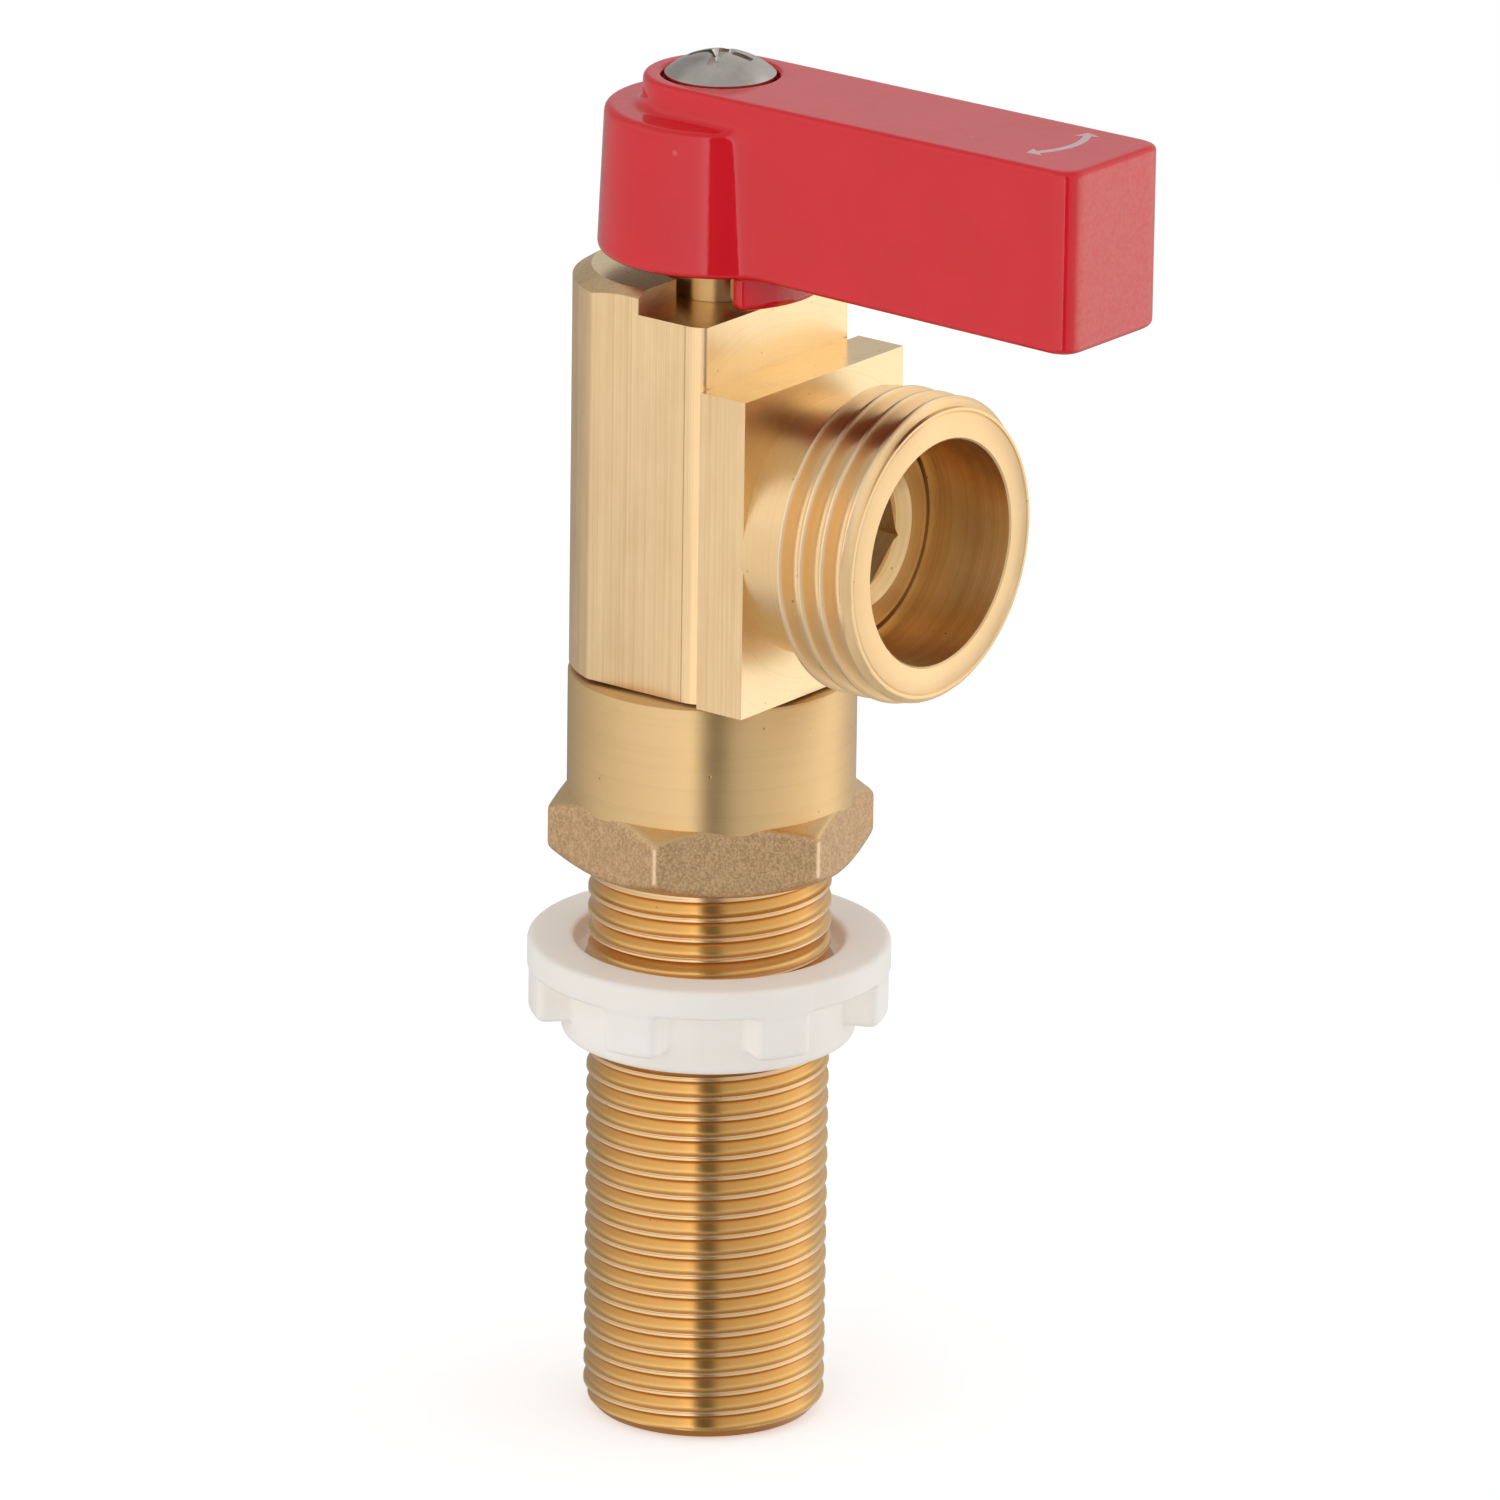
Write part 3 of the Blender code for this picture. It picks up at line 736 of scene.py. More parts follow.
def turned_brass(name, light, dark, rough, centre_z=None, bore_r=0.0, crest_r=0.0):
    """Turned surface: fine rings around its axis, clouded sheen and a few nicks.

    The axis is Z, or along Y at height centre_z. Inside bore_r the cutter left deeper rings,
    painted darker both as tool rings and as painted shade in the bore; crest_r is the radius
    of a thread's crests. All three are in metres.
    """
    nodes = surface(name)
    radius, along = nodes.axis_polar(centre_z)
    fine = nodes.lines(radius, along, FINE_LINES)
    coarse = nodes.lines(radius, along, COARSE_LINES)
    cloud = nodes.noise(nodes.stretch((170, 170, 170)), 1.0, 5.0, 0.6)
    pits = specks(nodes, 900.0, 0.10)
    tint = nodes.mix(nodes.ramp(cloud, 0.3, 0.7), dark, light)
    tint = nodes.mix(nodes.ramp(fine, 0.5, 0.72, 0.0, 0.2), tint, tuple(0.8 * c for c in dark))
    if crest_r and centre_z is None:
        # down-facing valley sides painted darker: painted shade
        painted_shade_colour = tuple(0.90 * c * c / light[0] for c in dark)
        tint = valley_painted_shade(nodes, tint, radius, painted_shade_colour, crest_r)
    if crest_r:
        # crests painted lighter: a painted highlight
        tint = crest_painted_highlight(nodes, tint, radius, light, crest_r)
    strength = 0.6
    if bore_r:
        # inside the bore the rings are painted darker: partly tool rings, partly painted shade
        inside = nodes.math("LESS_THAN", radius, bore_r)
        streak = nodes.blend(fine, 0.5, coarse, 0.5)
        shade = nodes.times(inside, nodes.ramp(streak, 0.40, 0.60, 0.15, 0.9))
        tint = nodes.mix(shade, tint, (0.76, 0.50, 0.21))
        strength = nodes.math("ADD", nodes.times(inside, 0.4), strength)
        fine = streak
    tint = nodes.mix(nodes.times(pits, 0.6), tint, (0.22, 0.12, 0.05))
    spread = nodes.ramp(cloud, 0.25, 0.75, rough - 0.04, rough + 0.06)
    normal = nodes.bump(fine, 0.00002, strength)
    normal = nodes.bump(pits, -0.00002, 0.7, normal)
    return metal(nodes, tint, spread, normal, TURNED_STRETCH, "Z" if centre_z is None else "Y")


def forged_brass():
    """Blasted hexagon: a tight grain, worn corners, and a cone turned clean at the top."""
    nodes = surface("forged_brass")
    grain = nodes.noise(nodes.coords, 4300.0, 2.0, 0.6)
    coarse = nodes.noise(nodes.coords, 1300.0, 2.0, 0.5)
    both = nodes.blend(grain, 0.75, coarse, 0.25)
    tint = nodes.mix(nodes.ramp(both, 0.40, 0.60), (0.55, 0.35, 0.18), (0.80, 0.535, 0.30))
    facing = nodes.facing()
    turn = nodes.math("ARCTAN2", facing[1], facing[0])
    turn = nodes.times(nodes.math("SUBTRACT", turn, math.radians(HEX_TURN)), 6.0)
    corner = nodes.ramp(nodes.math("COSINE", turn), -0.5, 0.9, 0.0, 0.8)
    upright = nodes.ramp(nodes.math("ABSOLUTE", facing[2]), 0.30, 0.10)
    tint = nodes.mix(nodes.times(corner, upright), tint, (0.95, 0.72, 0.50))
    clean = nodes.ramp(facing[2], 0.45, 0.70)
    tint = nodes.mix(clean, tint, (0.84, 0.58, 0.29))
    rough = nodes.ramp(grain, 0.3, 0.7, 0.40, 0.58)
    rough = nodes.math("SUBTRACT", rough, nodes.times(clean, 0.15))
    height = nodes.times(both, nodes.ramp(clean, 0.0, 1.0, 1.0, 0.15))
    normal = nodes.bump(height, 0.00006, 0.9)
    return metal(nodes, tint, rough, normal)


def red_enamel():
    """Glossy red enamel over a casting, with a painted sheen on the arm's end and painted shade
    underneath.
    """
    nodes = surface("red_enamel")
    pebble = nodes.noise(nodes.coords, 900.0, 2.0, 0.5)
    waves = nodes.noise(nodes.coords, 150.0, 2.0, 0.5)
    dust = specks(nodes, 420.0, 0.04)
    tint = nodes.mix(nodes.ramp(waves, 0.3, 0.7), (0.75, 0.004, 0.014), (0.80, 0.006, 0.018))
    tint = nodes.mix(nodes.times(dust, 0.35), tint, (0.85, 0.30, 0.28))
    facing = nodes.facing()
    # the arm's end face is painted lighter and pinker: a painted sheen
    end_face = nodes.ramp(facing[1], -0.93, -0.99)
    grit = nodes.noise(nodes.coords, 2600.0, 3.0, 0.6)
    wear_and_painted_sheen = nodes.times(end_face, nodes.ramp(grit, 0.35, 0.65, 0.6, 1.0))
    tint = nodes.mix(wear_and_painted_sheen, tint, (0.80, 0.125, 0.105))
    # faces that point down are painted dark: painted shade under the lever
    tint = nodes.mix(nodes.ramp(facing[2], -0.75, -0.97), tint, (0.20, 0.022, 0.014))
    chips = nodes.times(specks(nodes, 380.0, 0.07), end_face)
    height = nodes.math("ADD", nodes.times(pebble, 0.35), waves)
    height = nodes.math("SUBTRACT", height, nodes.times(chips, 2.0))
    normal = nodes.bump(height, 0.00006, 0.45)
    return nodes.finish({
        "Base Color": tint, "Normal": normal, "Roughness": nodes.ramp(pebble, 0.3, 0.7, 0.45, 0.55),
        "Coat Normal": normal, "Coat Weight": 1.0, "Coat Roughness": 0.05,
        "Specular IOR Level": 0.05})


def white_nylon():
    """Ivory moulded nylon, slightly translucent, with faint flow marks and a faint painted glow."""
    nodes = surface("white_nylon")
    flow = nodes.noise(nodes.stretch((90, 90, 200)), 1.0, 4.0, 0.55)
    skin_grain = nodes.noise(nodes.coords, 1400.0, 2.0, 0.5)
    marks = specks(nodes, 380.0, 0.05)
    tint = nodes.mix(nodes.ramp(flow, 0.3, 0.7), (0.93, 0.87, 0.79), (0.98, 0.945, 0.90))
    tint = nodes.mix(nodes.times(marks, 0.35), tint, (0.62, 0.50, 0.38))
    normal = nodes.bump(skin_grain, 0.00002, 0.5)
    # a faint ivory emission makes the nylon glow a little: painted light
    return nodes.finish({
        "Base Color": tint, "Normal": normal, "Roughness": nodes.ramp(flow, 0.3, 0.7, 0.36, 0.48),
        "Subsurface Weight": 0.12, "Subsurface Scale": 0.8 * MM,
        "Subsurface Radius": (1.0, 0.75, 0.55), "Emission Color": (1.0, 0.93, 0.85, 1),
        "Emission Strength": 0.12})


def stainless():
    """Bright steel with very fine turning lines."""
    nodes = surface("stainless")
    radius, along = nodes.axis_polar()
    fine = nodes.lines(radius, along, 3000.0)
    cloud = nodes.noise(nodes.coords, 500.0, 3.0, 0.5)
    tint = nodes.mix(nodes.ramp(cloud, 0.3, 0.7), (0.55, 0.50, 0.45), (0.66, 0.61, 0.565))
    rough = nodes.ramp(cloud, 0.3, 0.7, 0.14, 0.24)
    return metal(nodes, tint, rough, nodes.bump(fine, 0.000008, 0.5))


def plated_ball():
    """Polished plating, barely clouded."""
    nodes = surface("plated_ball")
    cloud = nodes.noise(nodes.coords, 400.0, 3.0, 0.5)
    tint = nodes.mix(nodes.ramp(cloud, 0.3, 0.7), (0.60, 0.60, 0.60), (0.74, 0.74, 0.75))
    rough = nodes.ramp(cloud, 0.3, 0.7, 0.08, 0.16)
    return metal(nodes, tint, rough, nodes.bump(cloud, 0.000004, 0.5))


def dull(name, light, dark, rough, scale):
    """Plain plastic or rubber with a fine skin."""
    nodes = surface(name)
    grain = nodes.noise(nodes.coords, scale, 3.0, 0.5)
    tint = nodes.mix(nodes.ramp(grain, 0.3, 0.7), dark, light)
    return nodes.finish({
        "Base Color": tint, "Normal": nodes.bump(grain, 0.00001, 0.5),
        "Roughness": nodes.ramp(grain, 0.3, 0.7, rough - 0.05, rough + 0.05)})


# ------------------------ pieces

def thread_shape(height, angle, pitch, root_height, root_angle):
    """Place across one thread, from 0 at a root through 0.5 at the crest to 1."""
    turns = (height - root_height) / pitch - (angle - root_angle) / (2 * math.pi)
    return turns - np.floor(turns)


def shank_radius(height, angle):
    """Narrow dished crests over wide flat valleys, fading out below the hexagon."""
    across = thread_shape(height, angle, SHANK_PITCH, SHANK_START_Z,
                          math.radians(SHANK_START_TURN))
    side = np.abs(2 * across - 1)
    valley = 1 - np.clip(side / VALLEY_SHARE, 0, 1) ** VALLEY_POWER
    wear_and_painted_sheen = CREST_DIP * np.clip((side - CREST_DIP_SHARE) / (1 - CREST_DIP_SHARE), 0, 1)
    fade = np.clip((HEX_Z - SHANK_RELIEF - height) / SHANK_RUNOUT, 0, 1)
    outside = SHANK_R - (SHANK_DEPTH * valley + wear_and_painted_sheen) * fade
    relief = np.where(height > HEX_Z - SHANK_RELIEF, SHANK_R, outside)
    return np.minimum(relief, SHANK_R - SHANK_LEAD + height * SHANK_LEAD_SLOPE)


def build_tailpiece(shank_metal, barrel_metal, hex_metal):
    """Threaded shank, turned barrel with its sealed spigot, and the hexagon between them."""
    top = HEX_Z + 1.5 * PAST
    closing = [(TUBE_SOCKET_R, top), (PASSAGE_R, top), (PASSAGE_R, TUBE_SOCKET_Z),
               (TUBE_SOCKET_R, TUBE_SOCKET_Z), (TUBE_SOCKET_R, TUBE_SOCKET_EDGE),
               (TUBE_SOCKET_R + TUBE_SOCKET_EDGE, 0)]
    shank = threaded(0, top, SHANK_PITCH, SHANK_START_Z, shank_radius, closing,
                     SIDES_SHANK, SHANK_ROWS)
    finish_mesh("shank_thread", shank, "housing", shank_metal,
                ("inlet_tailpiece",), sharp=50)
    seal_low, seal_high = SEAL_Z
    barrel_z, corner = HEX_TOP_Z - HEX_EDGE, BARREL_EDGE / 3.5
    barrel = turned([
        (PASSAGE_R, HEX_Z + PAST), (SHANK_R, HEX_Z + PAST), (SHANK_R, barrel_z),
        (BARREL_R, barrel_z), (BARREL_R, BARREL_TOP_Z - BARREL_EDGE),
        (BARREL_R - corner, BARREL_TOP_Z - corner),
        (BARREL_R - BARREL_EDGE, BARREL_TOP_Z), (SPIGOT_R, BARREL_TOP_Z),
        (SPIGOT_R, seal_low), (SEAL_R, seal_low), (SEAL_R, seal_high), (SPIGOT_R, seal_high),
        (SPIGOT_R, SPIGOT_TOP_Z), (PASSAGE_R, SPIGOT_TOP_Z)], SIDES_FINE)
    finish_mesh("tailpiece_barrel", barrel, "housing", barrel_metal,
                ("inlet_tailpiece",))
    hexagon = skin(hexagon_distance, (-HEX_ROOM, -HEX_ROOM, HEX_Z - PAST),
                   (HEX_ROOM, HEX_ROOM, HEX_TOP_Z + PAST), HEX_CELL)
    finish_mesh("tailpiece_hexagon", hexagon, "housing", hex_metal,
                ("inlet_tailpiece",), sharp=60)


def hexagon_distance(x, y, z):
    """Hexagon with its corners turned off at both ends and a clear middle."""
    around = None
    for side in range(3):
        angle = math.radians(HEX_TURN + 30 + 60 * side)
        flat = np.abs(x * math.cos(angle) + y * math.sin(angle)) - HEX_FLAT
        around = hard(around, flat, HEX_CORNER) if side else flat
    reach = np.hypot(x, y)
    slope = math.radians(HEX_SLOPE)
    below = (reach - HEX_FACE_R) * math.sin(slope) + (HEX_Z - z) * math.cos(slope)
    above = (reach - BARREL_R) * math.sin(slope) + (z - HEX_TOP_Z) * math.cos(slope)
    solid = hard(around, below, HEX_EDGE)
    solid = hard(solid, above, HEX_EDGE)
    solid = hard(solid, HEX_Z - z, HEX_RIM)
    solid = np.maximum(solid, z - (HEX_TOP_Z + OVERLAP))
    return np.maximum(solid, HEX_BORE_R - reach)


def build_bar(brass):
    """Bar stock with its plate, ledge, shoulder and bores, edges just broken."""
    edge_y = BODY_BACK_Y + math.sqrt(BODY_BACK_R ** 2 - BODY_HALF ** 2)
    edge = math.degrees(math.asin((edge_y - BODY_BACK_Y) / BODY_BACK_R))
    back = arc((0, BODY_BACK_Y), BODY_BACK_R, edge, 180 - edge, 64)
    left = [(-BODY_HALF, CORNER_Y + 2 * CORNER_LINE),
            (-BODY_HALF + CORNER_LINE, CORNER_Y + CORNER_LINE)]
    left += arc((CORNER_R - BODY_HALF, CORNER_Y), CORNER_R, 180, 180 + CORNER_REACH, 12)
    left += [(-NECK_HALF, PLATE_BACK_Y), (-PLATE_HALF, PLATE_BACK_Y), (-PLATE_HALF, PLATE_Y)]
    right = [(-x, y) for x, y in reversed(left)]
    bar = finish_mesh("body_bar", extruded(back + left + right, BODY_Z, SHOULDER_Z),
                      "housing", brass, ("valve_body",))
    far_r, high_z = SHOULDER_FLAT_R + SHOULDER_REACH, SHOULDER_Z + WELL_PAST
    drop = SHOULDER_REACH * math.tan(math.radians(SHOULDER_SLOPE))
    cone = turned([(SHOULDER_FLAT_R, SHOULDER_Z), (far_r, SHOULDER_Z - drop),
                   (far_r, high_z), (SHOULDER_FLAT_R, high_z)])
    stem_bore = turned([
        (0, OUTLET_Z), (STEM_ROOM_R, OUTLET_Z), (STEM_ROOM_R, STEM_ROOM_Z),
        (STEM_BORE_R, STEM_ROOM_Z), (STEM_BORE_R, FLOOR_Z), (RECESS_R, FLOOR_Z),
        (RECESS_R, SHOULDER_Z + PAST), (0, SHOULDER_Z + PAST)], SIDES_SMALL)
    socket = turned([
        (0, BODY_Z - PAST), (SOCKET_R, BODY_Z - PAST), (SOCKET_R, SOCKET_Z),
        (PASSAGE_R, SOCKET_Z), (PASSAGE_R, OUTLET_Z - 2 * PAST), (0, OUTLET_Z - 2 * PAST)],
        SIDES_SMALL)
    cavity = turned([
        (0, OUTLET_Y - PAST), (POCKET_R, OUTLET_Y - PAST), (POCKET_R, CAVITY_Y),
        (CAVITY_R, CAVITY_Y), (CAVITY_R, CAVITY_BACK_Y), (0, CAVITY_BACK_Y)], SIDES_SMALL)
    carve(bar, [
        (block((-WIDE, -WIDE, PLATE_TOP_Z), (WIDE, NECK_Y, high_z)), None),
        (block((-WIDE, -WIDE, FLOOR_Z), (WIDE, SHOULDER_Y, high_z)), None),
        (cone, Matrix.Translation((0, BODY_BACK_Y, 0))),
        (stem_bore, about_z(OFFSET_TURN)),
        (socket, about_z(OFFSET_TURN)),
        (cavity, along_outlet())], bevel=BODY_EDGE)


def outlet_radius(height, angle):
    """Hose thread: sharp crests, rounded roots, and a plain end at the mouth."""
    across = thread_shape(height, angle, THREAD_PITCH, THREAD_CREST_Y, math.pi)
    side = np.abs(2 * across - 1)
    depth = THREAD_DEPTH * (1 - np.clip(side / ROOT_SHARE, 0, 1) ** ROOT_POWER)
    start = np.clip((COLLAR_END_Y - height) / THREAD_START, 0, 1)
    crest = np.where(height > COLLAR_END_Y, COLLAR_R, COLLAR_R + (THREAD_R - COLLAR_R) * start)
    outside = np.minimum(crest, THREAD_R - depth)
    outside = np.where(height > COLLAR_END_Y, COLLAR_R, outside)
    lead = THREAD_R - (LAND_Y - height) * (THREAD_R - LAND_END_R) / (LAND_Y - OUTLET_Y)
    plain = np.minimum(np.maximum(outside, LAND_END_R), lead)
    return np.where(height < LAND_Y, plain, outside)


def build_outlet(brass):
    """Spout with its collar, hose thread, bored mouth and a fine line on its face."""
    back_y, (line_in, line_out) = PLATE_Y + OVERLAP, FACE_LINE
    inner = [(POCKET_R, back_y), (POCKET_R, POCKET_Y), (MOUTH_R, POCKET_Y),
             (MOUTH_R, OUTLET_Y + MOUTH_EDGE), (MOUTH_R + MOUTH_EDGE, OUTLET_Y),
             (FACE_LINE_R - line_in, OUTLET_Y), (FACE_LINE_R, OUTLET_Y + line_out),
             (FACE_LINE_R + line_out, OUTLET_Y)]
    spout = threaded(OUTLET_Y, back_y, THREAD_PITCH, THREAD_CREST_Y, outlet_radius, inner,
                     SIDES_FINE, THREAD_ROWS)
    finish_mesh("outlet_spout", spout, "housing", brass,
                ("valve_body",), sharp=40, matrix=along_outlet())


def build_retainer(brass):
    """Ring with a flat rim, a cone down to its face, and a hexagon socket through it."""
    rim, face, back_y = retainer_low.y, RETAINER_FACE_Y, retainer_high.y
    lip = rim + RETAINER_LIP
    ring = turned([
        (0, face), (RETAINER_FACE_R, face), (RETAINER_CONE_R, rim), (RETAINER_RIM_R, rim),
        (RETAINER_LIP_R, rim + RETAINER_EDGE), (RETAINER_LIP_R, lip),
        (RETAINER_R, lip + RETAINER_EDGE), (RETAINER_R, back_y), (0, back_y)])
    piece = finish_mesh("retainer_ring", ring, "housing", brass,
                        ("seat_retainer",), matrix=along_outlet())
    corner = RETAINER_FLAT / math.cos(math.radians(30))
    outline = arc((0, 0), corner, RETAINER_TURN, RETAINER_TURN + 300, 5)
    carve(piece, [(extruded(outline, rim - PAST, back_y + PAST), along_outlet())],
          bevel=RETAINER_BEVEL)


def build_ball(plating):
    """Ball with an elbow port, from below to one side, and the tang's slot on top."""
    centre = Matrix.Translation((0, 0, OUTLET_Z))
    sphere = bmesh.new()
    bmesh.ops.create_uvsphere(sphere, u_segments=72, v_segments=36, radius=BALL_R)
    piece = finish_mesh("ball_with_port", sphere, "ball", plating, ("ball",),
                        matrix=centre)
    facing = centre @ about_z(REST_TURN)
    outside = BALL_R + 1.4 * PAST
    port = [(0, -outside), (PORT_R, -outside), (PORT_R, 0), (0, 0)]
    elbow = bmesh.new()
    bmesh.ops.create_uvsphere(elbow, u_segments=48, v_segments=24, radius=ELBOW_R)
    sideways = facing @ Matrix.Rotation(math.radians(-90), 4, "Y") @ about_z(3)
    tilt = centre @ Matrix.Rotation(math.radians(7), 4, "X") @ about_z(5)
    slot = block((-outside, -SLOT_HALF, SLOT_Z - OUTLET_Z), (outside, SLOT_HALF, outside))
    carve(piece, [(turned(port, SIDES_HIDDEN), centre @ about_z(OFFSET_TURN)),
                  (turned(port, SIDES_HIDDEN), sideways), (elbow, tilt), (slot, facing)])


def build_stem(brass):
    """Spindle with a flange, two ring grooves and a tapped square, and the tang below."""
    low_z, high_z = FLANGE_Z
    profile = [(0, low_z), (FLANGE_R, low_z), (FLANGE_R, high_z), (STEM_R, high_z)]
    for middle in GROOVE_Z:
        low, high = middle - GROOVE_HALF, middle + GROOVE_HALF
        profile += [(STEM_R, low), (GROOVE_R, low), (GROOVE_R, high), (STEM_R, high)]
    profile += [(STEM_R, stem_high.z - STEM_EDGE), (STEM_R - STEM_EDGE, stem_high.z),
                (0, stem_high.z)]
    piece = finish_mesh("stem_spindle", turned(profile, SIDES_SMALL), "lever",
                        brass, ("stem",))
    cutters = []
    for side in range(4):
        flat = block((SQUARE_HALF, -WELL_PAST, SQUARE_Z),
                     (SQUARE_HALF + WELL_PAST, WELL_PAST, stem_high.z + PAST))
        cutters.append((flat, about_z(90 * side)))
    top_z = stem_high.z + WIDE
    tapped = [(0, TAPPED_Z), (TAPPED_R, TAPPED_Z), (TAPPED_R, top_z), (0, top_z)]
    cutters.append((turned(tapped, SIDES_HIDDEN), None))
    carve(piece, cutters)
    tang = block((-TANG_REACH, -TANG_HALF, stem_low.z), (TANG_REACH, TANG_HALF, TANG_TOP_Z))
    finish_mesh("stem_tang", tang, "lever", brass, ("stem",),
                matrix=about_z(REST_TURN))


def locknut_distance(x, y, z):
    """Flange over a hub with finger lugs, every edge softened by the mould."""
    reach = np.hypot(x, y)
    flange_z = nut_high.z - NUT_FLANGE
    flange = hard(reach - NUT_R, z - nut_high.z, NUT_EDGE)
    flange = hard(flange, flange_z - z, NUT_SMALL_EDGE)
    hub = hard(reach - NUT_HUB_R, nut_low.z - z, NUT_HUB_EDGE)
    hub = np.maximum(hub, z - (nut_high.z - NUT_COVER))
    solid = soft(flange, hub, NUT_SMALL_EDGE)
    pitch = 2 * math.pi / LUG_COUNT
    bearing = np.arctan2(y, x) - math.radians(LUG_TURN)
    bearing = bearing - pitch * np.round(bearing / pitch)
    out, side = reach * np.cos(bearing), reach * np.sin(bearing)
    lug = hard(reach - (NUT_R - LUG_INSET), np.abs(side) - LUG_HALF, NUT_HUB_EDGE)
    lug = hard(lug, LUG_Z - z, NUT_EDGE)
    lug = np.maximum(lug, NUT_HUB_R - LUG_ROOT - out)
    lug = np.maximum(lug, z - (nut_high.z - NUT_COVER))
    solid = soft(solid, lug, NUT_SMALL_EDGE)
    bore = np.where(z > nut_high.z - NUT_MOUTH_DEPTH, NUT_MOUTH_R, NUT_BORE_R) - reach
    return hard(solid, bore, NUT_BORE_EDGE)


def build_locknut(nylon):
    room = Vector((PAST, PAST, PAST))
    shape = skin(locknut_distance, nut_low - room, nut_high + room, NUT_CELL)
    finish_mesh("locknut_moulding", shape, "locknut", nylon, ("locknut",),
                sharp=70)


def lever_distance(x, y, z):
    """Cast lever: tapered hub, raised arm with a round heel, stop tab, and its bores."""
    reach = np.hypot(x, y)
    draft = (HUB_R - HUB_TOP_R) / (HUB_TOP_Z - handle_low.z)
    hub = reach - (HUB_R - draft * (z - handle_low.z))
    hub = hard(hub, z - HUB_TOP_Z, HUB_EDGE)
    side = np.where(y > 0, reach, np.abs(x)) - ARM_HALF
    arm = hard(side, handle_low.y - y, ARM_TIP_EDGE)
    arm = hard(arm, z - handle_high.z, CAST_EDGE)
    solid = soft(hub, arm, CAST_FILLET)
    droop = ARM_DROOP * np.clip((-y - HUB_R) / (-handle_low.y - HUB_R), 0, 1)
    solid = hard(solid, handle_floor() - droop - z, HUB_EDGE)
    bearing = np.abs(np.arctan2(x, -y)) - math.radians(TAB_HALF_ANGLE)
    tab = hard(reach - TAB_OUTER_R, TAB_INNER_R - reach, CAST_EDGE)
    tab = hard(tab, bearing * reach, TAB_END_EDGE)
    tab = hard(tab, handle_low.z - z, HUB_EDGE)
    tab = np.maximum(tab, z - handle_floor() - TAB_ROOT)
    solid = soft(solid, tab, TAB_FILLET)
    recess = np.maximum(reach - HEAD_RECESS_R, HEAD_SEAT_Z - z)
    solid = hard(solid, -recess, HEAD_RECESS_EDGE)
    neck = np.maximum(reach - (STEM_R + LEVER_PLAY), z - (SQUARE_Z + LEVER_PLAY))
    square = np.maximum(np.abs(x), np.abs(y)) - (SQUARE_HALF + LEVER_PLAY)
    square = np.maximum(square, z - LEVER_SQUARE_Z)
    bores = np.minimum(np.minimum(neck, square), reach - TAPPED_R)
    return np.maximum(solid, -bores)


def handle_floor():
    """Underside of hub and arm; the stop tab hangs below it."""
    return handle_low.z + FLOOR_LIFT


def build_lever(enamel):
    room = Vector((PAST, PAST, PAST))
    shape = skin(lever_distance, handle_low - room, handle_high + room, LEVER_CELL)
    finish_mesh("lever_casting", shape, "lever", enamel, ("handle",), sharp=70)


def build_arrow(ink):
    """Printed double-headed arrow on the arm's top, a thin film of ink."""
    first, last = ARROW_ENDS
    outer = arc(ARROW_CENTRE, ARROW_R + ARROW_HALF, first + BARB_SPAN, last - BARB_SPAN, 16)
    inner = arc(ARROW_CENTRE, ARROW_R - ARROW_HALF, last - BARB_SPAN, first + BARB_SPAN, 16)

    def barb(tip, root):
        spots = ((ARROW_R + BARB_HALF, root), (ARROW_R, tip), (ARROW_R - BARB_HALF, root))
        return [arc(ARROW_CENTRE, radius, angle, angle, 1)[0] for radius, angle in spots]

    outline = outer + barb(last, last - BARB_SPAN) + inner + barb(first, first + BARB_SPAN)[::-1]
    film = extruded(outline, handle_high.z - INK_DEPTH, handle_high.z + INK_RISE)
    finish_mesh("travel_arrow", film, "lever", ink)


def build_screw(steel):
    """Domed screw with a cross recess that narrows to a point."""
    crown = screw_high.z
    rise = crown - HEAD_RIM_Z
    dome_r = (HEAD_R ** 2 + rise ** 2) / (2 * rise)
    opening = math.degrees(math.asin(HEAD_R / dome_r))
    dome = arc((0, crown - dome_r), dome_r, 90 - opening, 90, 24)
    profile = [(0, screw_low.z), (SCREW_R - SCREW_POINT, screw_low.z),
               (SCREW_R, screw_low.z + SCREW_POINT), (SCREW_R, HEAD_Z), (HEAD_FLAT_R, HEAD_Z),
               (HEAD_R, HEAD_Z + HEAD_EDGE)] + dome[:-1] + [(0, crown)]
    piece = finish_mesh("pan_head_screw", turned(profile, SIDES_SMALL), "lever",
                        steel, ("handle_screw",))
    cutters = []
    for index in range(2):
        bar = block((-CROSS_REACH, -CROSS_HALF, crown - CROSS_DEPTH),
                    (CROSS_REACH, CROSS_HALF, crown + PAST))
        cutters.append((bar, about_z(CROSS_TURN + 90 * index)))
    top_z = crown + PAST / 2
    point = turned([(0, crown - CROSS_POINT_DEPTH), (CROSS_POINT_R, top_z), (0, top_z)], 24)
    cutters.append((point, about_z(7)))
    carve(piece, cutters, bevel=CROSS_EDGE)


# ------------------------ stage

# floor and camera: angles in degrees, the lens in millimetres, the rest in metres
FLOOR_R = 0.4
FLOOR_GAP = 0.0002
FLOOR_GLOW = 0.45
VIEW_AZIMUTH = -52.68
VIEW_ELEVATION = 18.31
VIEW_ROLL = 0.80
VIEW_DISTANCE = 1.2
VIEW_LENS = 333.7
SENSOR_WIDTH = 36.0
AIM_ASIDE = 0.00330
AIM_HEIGHT = 0.0598


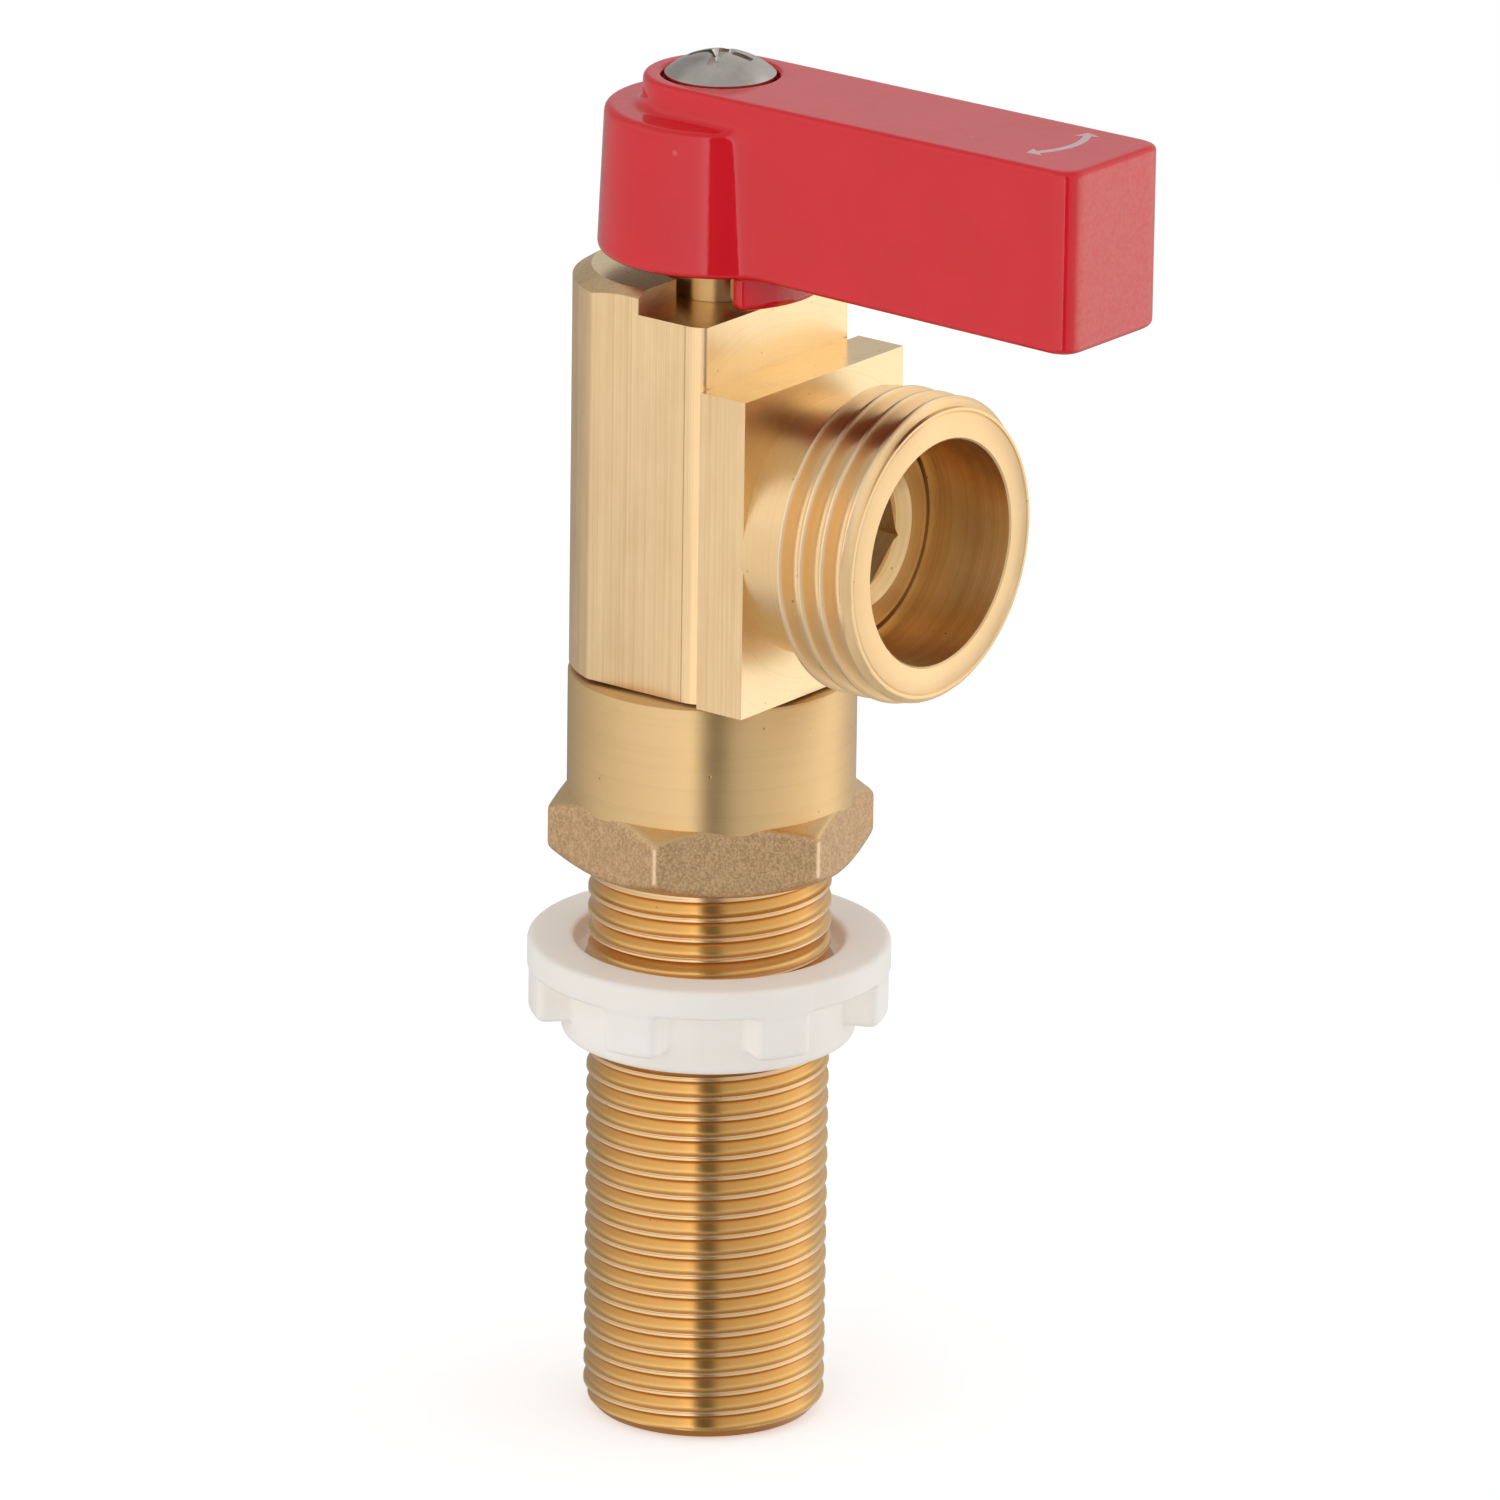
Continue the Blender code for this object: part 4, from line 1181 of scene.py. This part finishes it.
def build_stage():
    """Small pale floor like a light table, left out of the metal's reflections."""
    bm = bmesh.new()
    bmesh.ops.create_circle(bm, cap_ends=True, segments=96, radius=FLOOR_R)
    mesh = bpy.data.meshes.new("floor")
    bm.to_mesh(mesh)
    bm.free()
    floor = place("floor", mesh)
    floor.location = (0, 0, cad_box[0][2] - FLOOR_GAP)
    paint = surface("floor_paint")
    tone = paint.noise(paint.coords, 3.0, 2.0, 0.5)
    paper = paint.mix(tone, (0.88, 0.88, 0.88), (0.91, 0.91, 0.91))
    mesh.materials.append(paint.finish({
        "Base Color": paper, "Roughness": 0.9, "Emission Color": (1, 1, 1, 1),
        "Emission Strength": FLOOR_GLOW}))
    floor.visible_glossy = False
    floor.visible_diffuse = False


def view_axes():
    """Towards the camera, level right, and the camera's own right and up."""
    azimuth, elevation, roll = map(math.radians, (VIEW_AZIMUTH, VIEW_ELEVATION, VIEW_ROLL))
    back = Vector((math.sin(azimuth) * math.cos(elevation),
                   -math.cos(azimuth) * math.cos(elevation), math.sin(elevation)))
    right = Vector((math.cos(azimuth), math.sin(azimuth), 0))
    up = back.cross(right)
    turned_right = math.cos(roll) * right + math.sin(roll) * up
    turned_up = -math.sin(roll) * right + math.cos(roll) * up
    return back, right, turned_right, turned_up


def build_camera():
    back, right, across, up = view_axes()
    data = bpy.data.cameras.new("view")
    data.lens = VIEW_LENS
    data.sensor_width = SENSOR_WIDTH
    camera = place("view", data)
    spot = right * AIM_ASIDE + Vector((0, 0, AIM_HEIGHT)) + back * VIEW_DISTANCE
    camera.matrix_world = Matrix((
        (across.x, up.x, back.x, spot.x), (across.y, up.y, back.y, spot.y),
        (across.z, up.z, back.z, spot.z), (0, 0, 0, 1)))
    bpy.context.scene.camera = camera


# Brightness of the studio around the valve by bearing from its front in degrees, positive to
# the right, at the horizon and below (AROUND_LOW) and above it (AROUND_HIGH), then straight
# up, straight down, and as the camera itself sees it.
AROUND_LOW = ((-180, 0.45), (-160, 0.36), (-140, 0.46), (-120, 0.60), (-100, 0.73),
              (-80, 0.87), (-60, 1.02), (-40, 1.14), (-32, 1.18), (-20, 1.32), (-14, 1.8),
              (-11, 1.95), (-9, 0.14), (9, 0.14), (14, 0.64), (20, 0.72), (60, 0.99),
              (98, 1.22), (112, 1.30), (122, 0.98), (135, 0.75), (160, 0.60), (180, 0.45))
AROUND_HIGH = ((-180, 0.58), (-165, 0.36), (-130, 0.42), (-100, 0.95), (-60, 1.10),
               (-20, 1.30), (-11, 2.0), (-9, 0.10), (9, 0.10), (14, 0.75), (60, 0.95),
               (105, 1.25), (140, 0.70), (180, 0.58))
OVERHEAD = 0.54
UNDERNEATH = 0.5
BACKDROP = 1.0


def around(nodes, bearing, stops):
    """Colour ramp of brightness over the bearing, which runs from 0 to 1 here."""
    ramp = nodes.add("ShaderNodeValToRGB")
    elements = ramp.color_ramp.elements
    while len(elements) < len(stops):
        elements.new(0.5)
    for element, (degrees, value) in zip(elements, stops):
        element.position = (degrees + 180) / 360
        element.color = (value, value, value, 1)
    nodes.link(bearing, ramp.inputs[0])
    return ramp.outputs[0]


def build_lights():
    """Big soft lights all round, with a narrow dark gap at the valve's front."""
    world = bpy.data.worlds.new("studio")
    nodes = Nodes(world)
    back, right, _, _ = view_axes()
    front = Vector((back.x, back.y, 0)).normalized()

    def along(axis):
        dot = nodes.add("ShaderNodeVectorMath", operation="DOT_PRODUCT")
        return nodes.feed(dot, {0: nodes.places["Generated"], 1: axis}).outputs["Value"]

    def smooth(value, low, high):
        step = nodes.add("ShaderNodeMapRange", interpolation_type="SMOOTHSTEP")
        feeds = {"Value": value, "From Min": low, "From Max": high}
        return nodes.feed(step, feeds).outputs["Result"]

    turn = nodes.math("ARCTAN2", along(right), along(front))
    bearing = nodes.math("ADD", nodes.times(turn, 0.5 / math.pi), 0.5)
    height = along((0.0, 0.0, 1.0))
    level = nodes.mix(smooth(height, 0.0, 0.3), around(nodes, bearing, AROUND_LOW),
                      around(nodes, bearing, AROUND_HIGH))
    level = nodes.mix(smooth(height, 0.55, 0.88), level, (OVERHEAD,) * 3)
    level = nodes.mix(smooth(height, -0.55, -0.85), level, (UNDERNEATH,) * 3)
    seen = nodes.add("ShaderNodeLightPath").outputs["Is Camera Ray"]
    level = nodes.mix(seen, level, (BACKDROP,) * 3)
    nodes.link(level, nodes.tree.nodes["Background"].inputs["Color"])
    bpy.context.scene.world = world


def build_pieces():
    """Make every piece, and give the CAD nodes that stay their plastic and rubber."""
    shank_metal = turned_brass("shank_brass", (0.84, 0.53, 0.20), (0.76, 0.46, 0.155), 0.30,
                               crest_r=SHANK_R * MM)
    barrel_metal = turned_brass("barrel_brass", (0.85, 0.59, 0.295), (0.77, 0.52, 0.245), 0.42)
    outlet_metal = turned_brass("outlet_brass", (0.97, 0.69, 0.37), (0.89, 0.61, 0.31), 0.33,
                                OUTLET_Z * MM, (MOUTH_R + 0.02) * MM, THREAD_R * MM)
    build_tailpiece(shank_metal, barrel_metal, forged_brass())
    build_bar(extruded_brass())
    build_outlet(outlet_metal)
    build_retainer(outlet_metal)
    build_ball(plated_ball())
    build_stem(barrel_metal)
    build_locknut(white_nylon())
    build_lever(red_enamel())
    build_arrow(dull("arrow_ink", (0.80, 0.62, 0.62), (0.72, 0.52, 0.53), 0.5, 2000.0))
    build_screw(stainless())
    ptfe = dull("seat_plastic", (0.88, 0.88, 0.86), (0.80, 0.80, 0.78), 0.45, 900.0)
    rubber = dull("black_rubber", (0.035, 0.035, 0.035), (0.02, 0.02, 0.02), 0.65, 1500.0)
    for finish, names in (
            (ptfe, ("outlet_seat", "rear_seat", "stem_thrust_washer")),
            (rubber, ("stem_o_ring_lower", "stem_o_ring_upper", "tailpiece_o_ring"))):
        for name in names:
            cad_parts[name].data.materials.clear()
            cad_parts[name].data.materials.append(finish)


bpy.context.scene.view_settings.view_transform = "Standard"
build_camera()
build_lights()
build_stage()
build_pieces()
